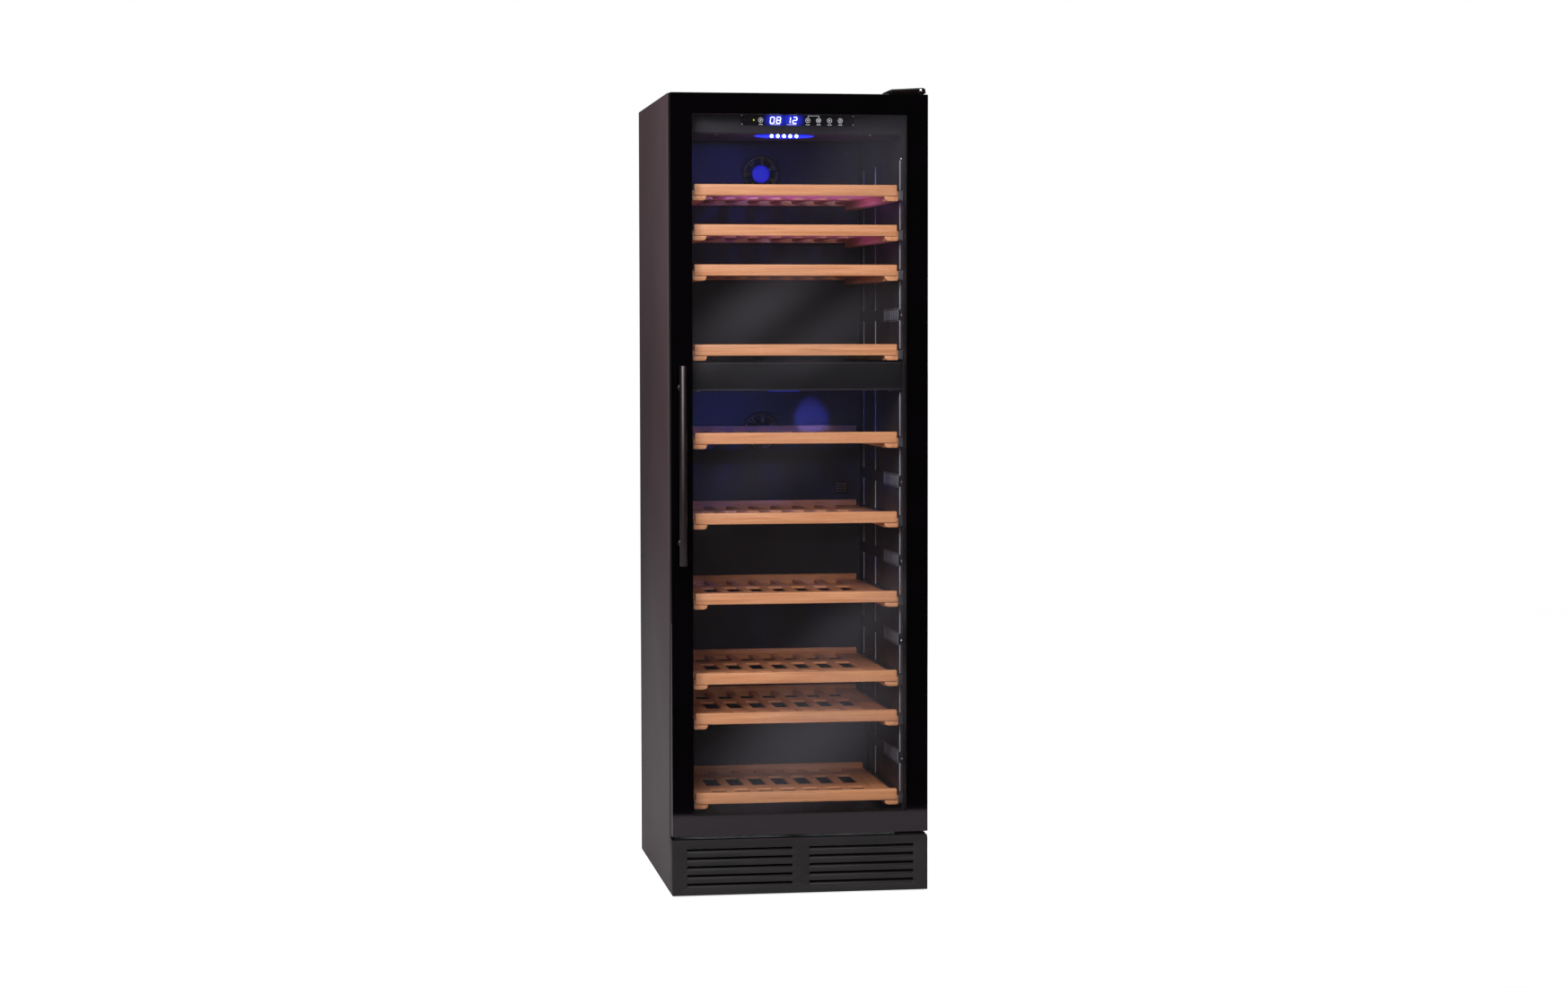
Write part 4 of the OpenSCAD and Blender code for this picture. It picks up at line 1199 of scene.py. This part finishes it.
class COOLER_OT_door(bpy.types.Operator):
    """Door frame, outer glass with its printed border, and the gasket"""

    bl_idname = "cooler.door"
    bl_label = "Door"

    def execute(self, context):
        sizes = context.scene.cooler_sizes
        low, high = GLASS_LOW, GLASS_HIGH
        bm = bmesh.new()
        add_block(bm, low, high, 0)
        uprights = [edge for edge in bm.edges if abs(edge.verts[0].co.y - edge.verts[1].co.y) > 0.001]
        round_edges(bm, uprights, 0.0022, 4)
        round_edges(bm, [edge for edge in bm.edges if is_sharp(edge)], 0.0006, 2)
        window = (
            (low.x + sizes.border, low.z + sizes.border_foot),
            (high.x - sizes.border, high.z - sizes.border_top),
        )
        for at in (0, 1):
            for place, normal in (((window[at][0], 0, 0), (1, 0, 0)), ((0, 0, window[at][1]), (0, 0, 1))):
                everything = bm.verts[:] + bm.edges[:] + bm.faces[:]
                bmesh.ops.bisect_plane(bm, geom=everything, dist=1e-6, plane_co=place, plane_no=normal)
        for face in bm.faces:
            centre = face.calc_center_median()
            inside = window[0][0] < centre.x < window[1][0] and window[0][1] < centre.z < window[1][1]
            face.material_index = 0 if inside and abs(face.normal.y) > 0.9 else 1
        finish_piece(
            "door_glass_pane",
            bm,
            "door",
            ["Tinted float glass, painted reflection streaks", "Fired black glass border"],
            ["outer_glass"],
            15.0,
        )
        low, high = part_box("door_frame")
        bm = bmesh.new()
        front, rear = low.y + 0.0001, high.y
        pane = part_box("inner_glass")[1].y + 0.0002
        profile = [
            (0.0002, front), (0.0002, rear - 0.0022), (0.0008, rear - 0.0008), (0.0022, rear), (0.0455, rear),
            (0.0469, rear - 0.0006), (0.0475, rear - 0.0020), (0.0475, pane), (0.0349, pane), (0.0349, front),
        ]
        add_frame(bm, profile, high.x, low.z, high.z)
        finish_piece(
            "door_frame_profile",
            bm,
            "door",
            ["Powder-coated aluminium, door frame"],
            ["door_frame"],
        )
        low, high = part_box("door_gasket")
        bm = bmesh.new()
        near, far = low.y + 0.0001, high.y
        profile = [
            (0.0000, near + 0.0030), (0.0024, near + 0.0045), (0.0000, near + 0.0062), (0.0006, far - 0.0012),
            (0.0030, far), (0.0165, far), (0.0196, far - 0.0016), (0.0200, near + 0.0062),
            (0.0176, near + 0.0045), (0.0200, near + 0.0030), (0.0185, near), (0.0015, near),
        ]
        add_frame(bm, profile, high.x, low.z, high.z)
        finishes = ["Extruded PVC, gasket"]
        finish_piece("door_gasket_bellows", bm, "door", finishes, ["door_gasket"])
        return {"FINISHED"}


class COOLER_OT_handle(bpy.types.Operator):
    """Round handle bar on two standoffs"""

    bl_idname = "cooler.handle"
    bl_label = "Handle"

    def execute(self, context):
        low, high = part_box("handle_bar")
        x, y = (low.x + high.x) / 2, (low.y + high.y) / 2
        radius = (high.x - low.x) / 2
        bm = bmesh.new()
        rim, lip, dip = 0.0010, 0.0028, 0.0004
        # up one end, along the tube, and the same mirrored
        foot = [(0.0, dip), (radius - 0.003, dip), (radius - lip, 0.0), (radius - rim, 0.0)]
        foot += [(radius - rim * 0.3, rim * 0.3), (radius, rim)]
        profile = [(across, low.z + up) for across, up in foot]
        profile += [(across, high.z - up) for across, up in reversed(foot)]
        add_lathe(bm, profile, (x, y, 0.0), sides=64)
        bronze = "Anodised aluminium, dark bronze"
        finish_piece("handle_tube", bm, "door", [bronze], ["handle_bar"])
        posts_low, posts_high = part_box("handle_posts")
        post = (posts_high.x - posts_low.x) / 2
        bm = bmesh.new()
        for z in (posts_low.z + post, posts_high.z - post):
            reach = GLASS_LOW.y - (y + radius * 0.6)
            turned = [(post, -0.0005), (post, reach - 0.0040), (post + 0.0022, reach - 0.0034)]
            turned += [(post + 0.0028, reach - 0.0026), (post + 0.0028, reach - 0.0003)]
            turned += [(post * 0.5, reach - 0.0003), (post * 0.5, -0.0005)]
            add_lathe(bm, turned, (x, y + radius * 0.6, z), (0, 1, 0), 40, closed=True)
            add_rod(bm, (x, GLASS_LOW.y - 0.0004, z), (x, posts_high.y, z), 0.004, 20, 0.0003, 1)
        finish_piece(
            "handle_standoffs", bm, "door", [bronze, "Zinc-plated steel"], ["handle_posts"]
        )
        return {"FINISHED"}


class COOLER_OT_hinge(bpy.types.Operator):
    """Moulded cover over the upper hinge"""

    bl_idname = "cooler.hinge"
    bl_label = "Hinge cover"

    def execute(self, context):
        low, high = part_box("hinge_cover")
        rise = high.z - low.z
        bm = bmesh.new()
        outline = [
            (low.x, low.z + 0.0004), (high.x, low.z + 0.0004), (high.x, low.z + rise * 0.55),
            (high.x - 0.0015, low.z + rise * 0.80), (high.x - 0.0045, high.z - 0.0008),
            (high.x - 0.0090, high.z), (low.x + 0.0022, low.z + rise * 0.70), (low.x, low.z + rise * 0.56),
        ]
        add_prism(bm, outline, 1, low.y, high.y, 0.0011, 3)
        add_screw(bm, (high.x - 0.0110, low.y, low.z + rise * 0.55), (0, -1, 0), 0.0040, 1)
        cover = finish_piece(
            "hinge_cover_moulding",
            bm,
            "cabinet",
            ["Moulded ABS, gloss black", "Bright screw steel"],
            ["hinge_cover"],
        )
        hollow = bmesh.new()
        add_block(
            hollow,
            (low.x + 0.003, low.y + 0.0035, low.z - 0.001),
            (high.x - 0.002, high.y - 0.011, low.z + 0.0034),
            0,
        )
        cut_away(cover, hollow)
        return {"FINISHED"}


class COOLER_OT_machine(bpy.types.Operator):
    """Compressor, feet and the pins of the mains inlet"""

    bl_idname = "cooler.machine"
    bl_label = "Machine and feet"

    def execute(self, context):
        low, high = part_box("compressor")
        y = (low.y + high.y) / 2
        radius = (high.y - low.y) / 2 - 0.0005
        x = low.x + radius + 0.012
        bm = bmesh.new()
        tall = high.z - low.z
        shape = [(0.0, 0.004), (0.60, 0.004), (0.86, 0.016), (0.97, 0.040), (1.0, 0.066), (1.035, 0.070)]
        shape += [(1.035, 0.078), (1.0, 0.082), (0.97, 0.108), (0.84, 0.128)]
        shape += [(0.55, tall - 0.001), (0.0, tall)]
        add_lathe(bm, [(part * radius * 0.96, height) for part, height in shape], (x, y, low.z), sides=48)
        for side in (-1, 1):
            add_block(
                bm,
                (x + side * 0.058 - 0.010, y - 0.040, low.z + 0.0005),
                (x + side * 0.058 + 0.010, y + 0.040, low.z + 0.004),
                0.0008,
                2,
                1,
            )
        # start relay on the side
        relay = (x + 0.046, y - 0.022, low.z + 0.050)
        add_block(bm, relay, (x + 0.082, y + 0.022, low.z + 0.092), 0.003, 3, 2)
        finish_piece(
            "compressor_pot",
            bm,
            "cabinet",
            ["Enamelled compressor steel", "Zinc-plated steel", "Moulded PP, black"],
            ["compressor"],
        )
        for node, body in (("front_foot_left", "foot_left"), ("front_foot_right", "foot_right")):
            low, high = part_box(node)
            bm = bmesh.new()
            centre = middle_of(node)
            centre.z = low.z
            pad = [(0.0, 0.0), (0.0180, 0.0), (0.0196, 0.0008), (0.0200, 0.0020)]
            pad += [(0.0196, 0.0040), (0.0180, 0.0050), (0.0, 0.0050)]
            add_lathe(bm, pad, centre, sides=40)
            stem = [(0.0, 0.0048)]
            turns = 14
            for turn in range(turns):
                z = 0.006 + turn * (high.z - low.z - 0.0075) / turns
                stem += [(0.0050, z), (0.0044, z + 0.0011)]
            stem += [(0.0040, high.z - low.z), (0.0, high.z - low.z)]
            add_lathe(bm, stem, centre, sides=20, material=1)
            nut = [(0.0, 0.0050), (0.0100, 0.0050), (0.0108, 0.0058)]
            nut += [(0.0108, 0.0092), (0.0100, 0.0100), (0.0, 0.0100)]
            add_lathe(bm, nut, centre, sides=6)
            finishes = ["Moulded PP, black", "Zinc-plated steel"]
            finish_piece(f"{node}_turned", bm, body, finishes, [node])
        low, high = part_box("mains_inlet")
        bm = bmesh.new()
        middle, back = middle_of("mains_inlet"), low.y + 0.009
        for dx, dz in ((-0.007, -0.002), (0.007, -0.002), (0.0, 0.002)):
            x, z = middle.x + dx, middle.z + dz
            add_block(bm, (x - 0.001, back, z - 0.002), (x + 0.001, high.y - 0.003, z + 0.002), 0.0004)
        finish_piece("inlet_pins", bm, "cabinet", ["Bright screw steel"])
        return {"FINISHED"}


class COOLER_OT_stage(bpy.types.Operator):
    """Pale floor, soft studio light, interior lamps and the camera"""

    bl_idname = "cooler.stage"
    bl_label = "Stage"

    def execute(self, context):
        scene = context.scene
        scene.view_settings.view_transform = "Standard"
        colours = scene.cooler_colours
        bm = bmesh.new()
        corners = bmesh.ops.create_grid(bm, x_segments=1, y_segments=1, size=0.5)["verts"]
        wide, deep, front = 14.0, 8.0, -1.53
        bmesh.ops.scale(bm, vec=(wide, deep, 1.0), verts=corners)
        bmesh.ops.translate(bm, vec=(0.0, front + deep / 2, 0.0), verts=corners)
        floor = new_object("floor", bm)
        finish, tree, shader = new_finish("Matt white floor", Roughness=0.8)
        tone(tree, shader, object_grain(tree, 3.0), "#b9b9b9", "#bcbcbc")
        shader.inputs["Emission Color"].default_value = (1.0, 1.0, 1.0, 1.0)
        path = add_node(tree, "ShaderNodeLightPath")
        seen = path.outputs["Is Camera Ray"]
        level = add_node(tree, "ShaderNodeMapRange", {"Value": seen, "To Min": 0.1, "To Max": 0.8})
        tree.links.new(level.outputs["Result"], shader.inputs["Emission Strength"])
        floor.data.materials.append(finish)
        self.world(scene)
        self.softbox("key softbox", (-1.5, -3.9, 3.0), (0.0, -0.2, 0.95), (1.6, 2.0), colours.key_power)
        self.softbox("front softbox", (0.7, -3.6, 3.9), (0.0, -0.1, 1.0), (1.6, 1.2), colours.fill_power)
        self.softbox("left softbox", (-3.4, -1.2, 0.9), (-0.3, 0.0, 0.6), (1.6, 2.4), colours.side_power)
        self.softbox("top softbox", (0.4, 0.6, 4.2), (0.0, 0.0, 0.9), (3.0, 3.0), 90.0)
        self.softbox("rear softbox", (2.4, 4.2, 2.2), (0.0, 0.3, 0.9), (2.0, 2.2), 70.0)
        for top in (HOUSING_LOW.z, DIVIDER_LOW.z):
            lamp = self.softbox(
                f"lamp {top:.2f}",
                (-0.024, -0.2295, top - 0.007),
                (-0.05, 0.12, top - 0.30),
                (0.066, 0.006),
                colours.lamp_power,
                130.0,
            )
            lamp.data.color = colours.lamp
        # the blue that the bottom of the next shelf throws back up, and the patch on the lower back wall
        for name, share in (("shelf_2", 0.5), ("shelf_3", 0.25)):
            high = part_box(name)[1]
            bounce = self.softbox(
                f"bounce {name}",
                (0.04, -0.05, high.z + 0.012),
                (0.04, -0.04, high.z + 0.20),
                (0.34, 0.24),
                colours.lamp_power * share,
            )
            bounce.data.color = colours.bounce
        patch = (0.125, BACK_Y, middle_of("lower_fan_rotor").z + 0.034)
        start = (0.06, -0.10, DIVIDER_LOW.z - 0.012)
        spot = self.softbox("lamp patch", start, patch, (0.01, 0.01), 0.05, 14.0)
        spot.data.color = colours.lamp
        self.camera(scene)
        return {"FINISHED"}

    def world(self, scene):
        world = bpy.data.worlds.new("studio")
        scene.world = world
        world.use_nodes = True
        tree = world.node_tree
        path = add_node(tree, "ShaderNodeLightPath")
        fill = tree.nodes["Background"]
        fill.inputs["Color"].default_value = (1.0, 1.0, 1.0, 1.0)
        # white to the camera, soft grey to matt surfaces, and nearly dark to what mirrors it
        mirrored, seen = path.outputs["Is Glossy Ray"], path.outputs["Is Camera Ray"]
        dim = add_node(tree, "ShaderNodeMapRange", {"Value": mirrored, "To Min": 0.32, "To Max": 0.03})
        level = add_node(tree, "ShaderNodeMath", {0: dim.outputs["Result"], 1: seen}, operation="MAXIMUM")
        tree.links.new(level.outputs["Value"], fill.inputs["Strength"])

    def softbox(self, name, place, aim, size, power, spread=180.0):
        light = bpy.data.lights.new(name, "AREA")
        light.shape = "RECTANGLE"
        light.size, light.size_y = size
        light.energy = power
        lamp = bpy.data.objects.new(name, light)
        lamp.location = place
        lamp.rotation_euler = (Vector(aim) - Vector(place)).to_track_quat("-Z", "Y").to_euler()
        lamp.visible_camera = False
        light.spread = math.radians(spread)
        bpy.context.scene.collection.objects.link(lamp)
        return lamp

    def camera(self, scene):
        lens = bpy.data.cameras.new("camera")
        lens.lens = 71.2
        lens.sensor_width = 36.0
        lens.sensor_fit = "HORIZONTAL"
        lens.dof.use_dof = False
        lens.clip_end = 60.0
        camera = bpy.data.objects.new("camera", lens)
        camera.location = (-1.1017, -7.3245, 1.2860)
        camera.rotation_euler = (math.radians(87.094), math.radians(0.095), math.radians(-8.637))
        scene.collection.objects.link(camera)
        scene.camera = camera


class COOLER_PT_build(bpy.types.Panel):
    """Lists every step of the build"""

    bl_label = "Bottle cooler"
    bl_idname = "COOLER_PT_build"
    bl_space_type = "VIEW_3D"
    bl_region_type = "UI"
    bl_category = "Cooler"

    def draw(self, context):
        for operator in OPERATORS:
            self.layout.operator(operator.bl_idname)
        for group in (context.scene.cooler_sizes, context.scene.cooler_colours):
            for name in group.bl_rna.properties.keys():
                if name not in ("rna_type", "name"):
                    self.layout.prop(group, name)


OPERATORS = (
    COOLER_OT_finishes,
    COOLER_OT_frame_finishes,
    COOLER_OT_shell,
    COOLER_OT_back,
    COOLER_OT_plinth,
    COOLER_OT_liner,
    COOLER_OT_divider,
    COOLER_OT_control_panel,
    COOLER_OT_lamps,
    COOLER_OT_air_grilles,
    COOLER_OT_shelves,
    COOLER_OT_door,
    COOLER_OT_handle,
    COOLER_OT_hinge,
    COOLER_OT_machine,
    COOLER_OT_stage,
)
CLASSES = (CoolerSizes, CoolerColours) + OPERATORS + (COOLER_PT_build,)


def register():
    for item in CLASSES:
        bpy.utils.register_class(item)
    bpy.types.Scene.cooler_sizes = PointerProperty(type=CoolerSizes)
    bpy.types.Scene.cooler_colours = PointerProperty(type=CoolerColours)


def unregister():
    del bpy.types.Scene.cooler_colours
    del bpy.types.Scene.cooler_sizes
    for item in reversed(CLASSES):
        bpy.utils.unregister_class(item)


def main():
    register()
    for operator in OPERATORS:
        group, name = operator.bl_idname.split(".")
        getattr(getattr(bpy.ops, group), name)()


if __name__ == "__main__":
    main()
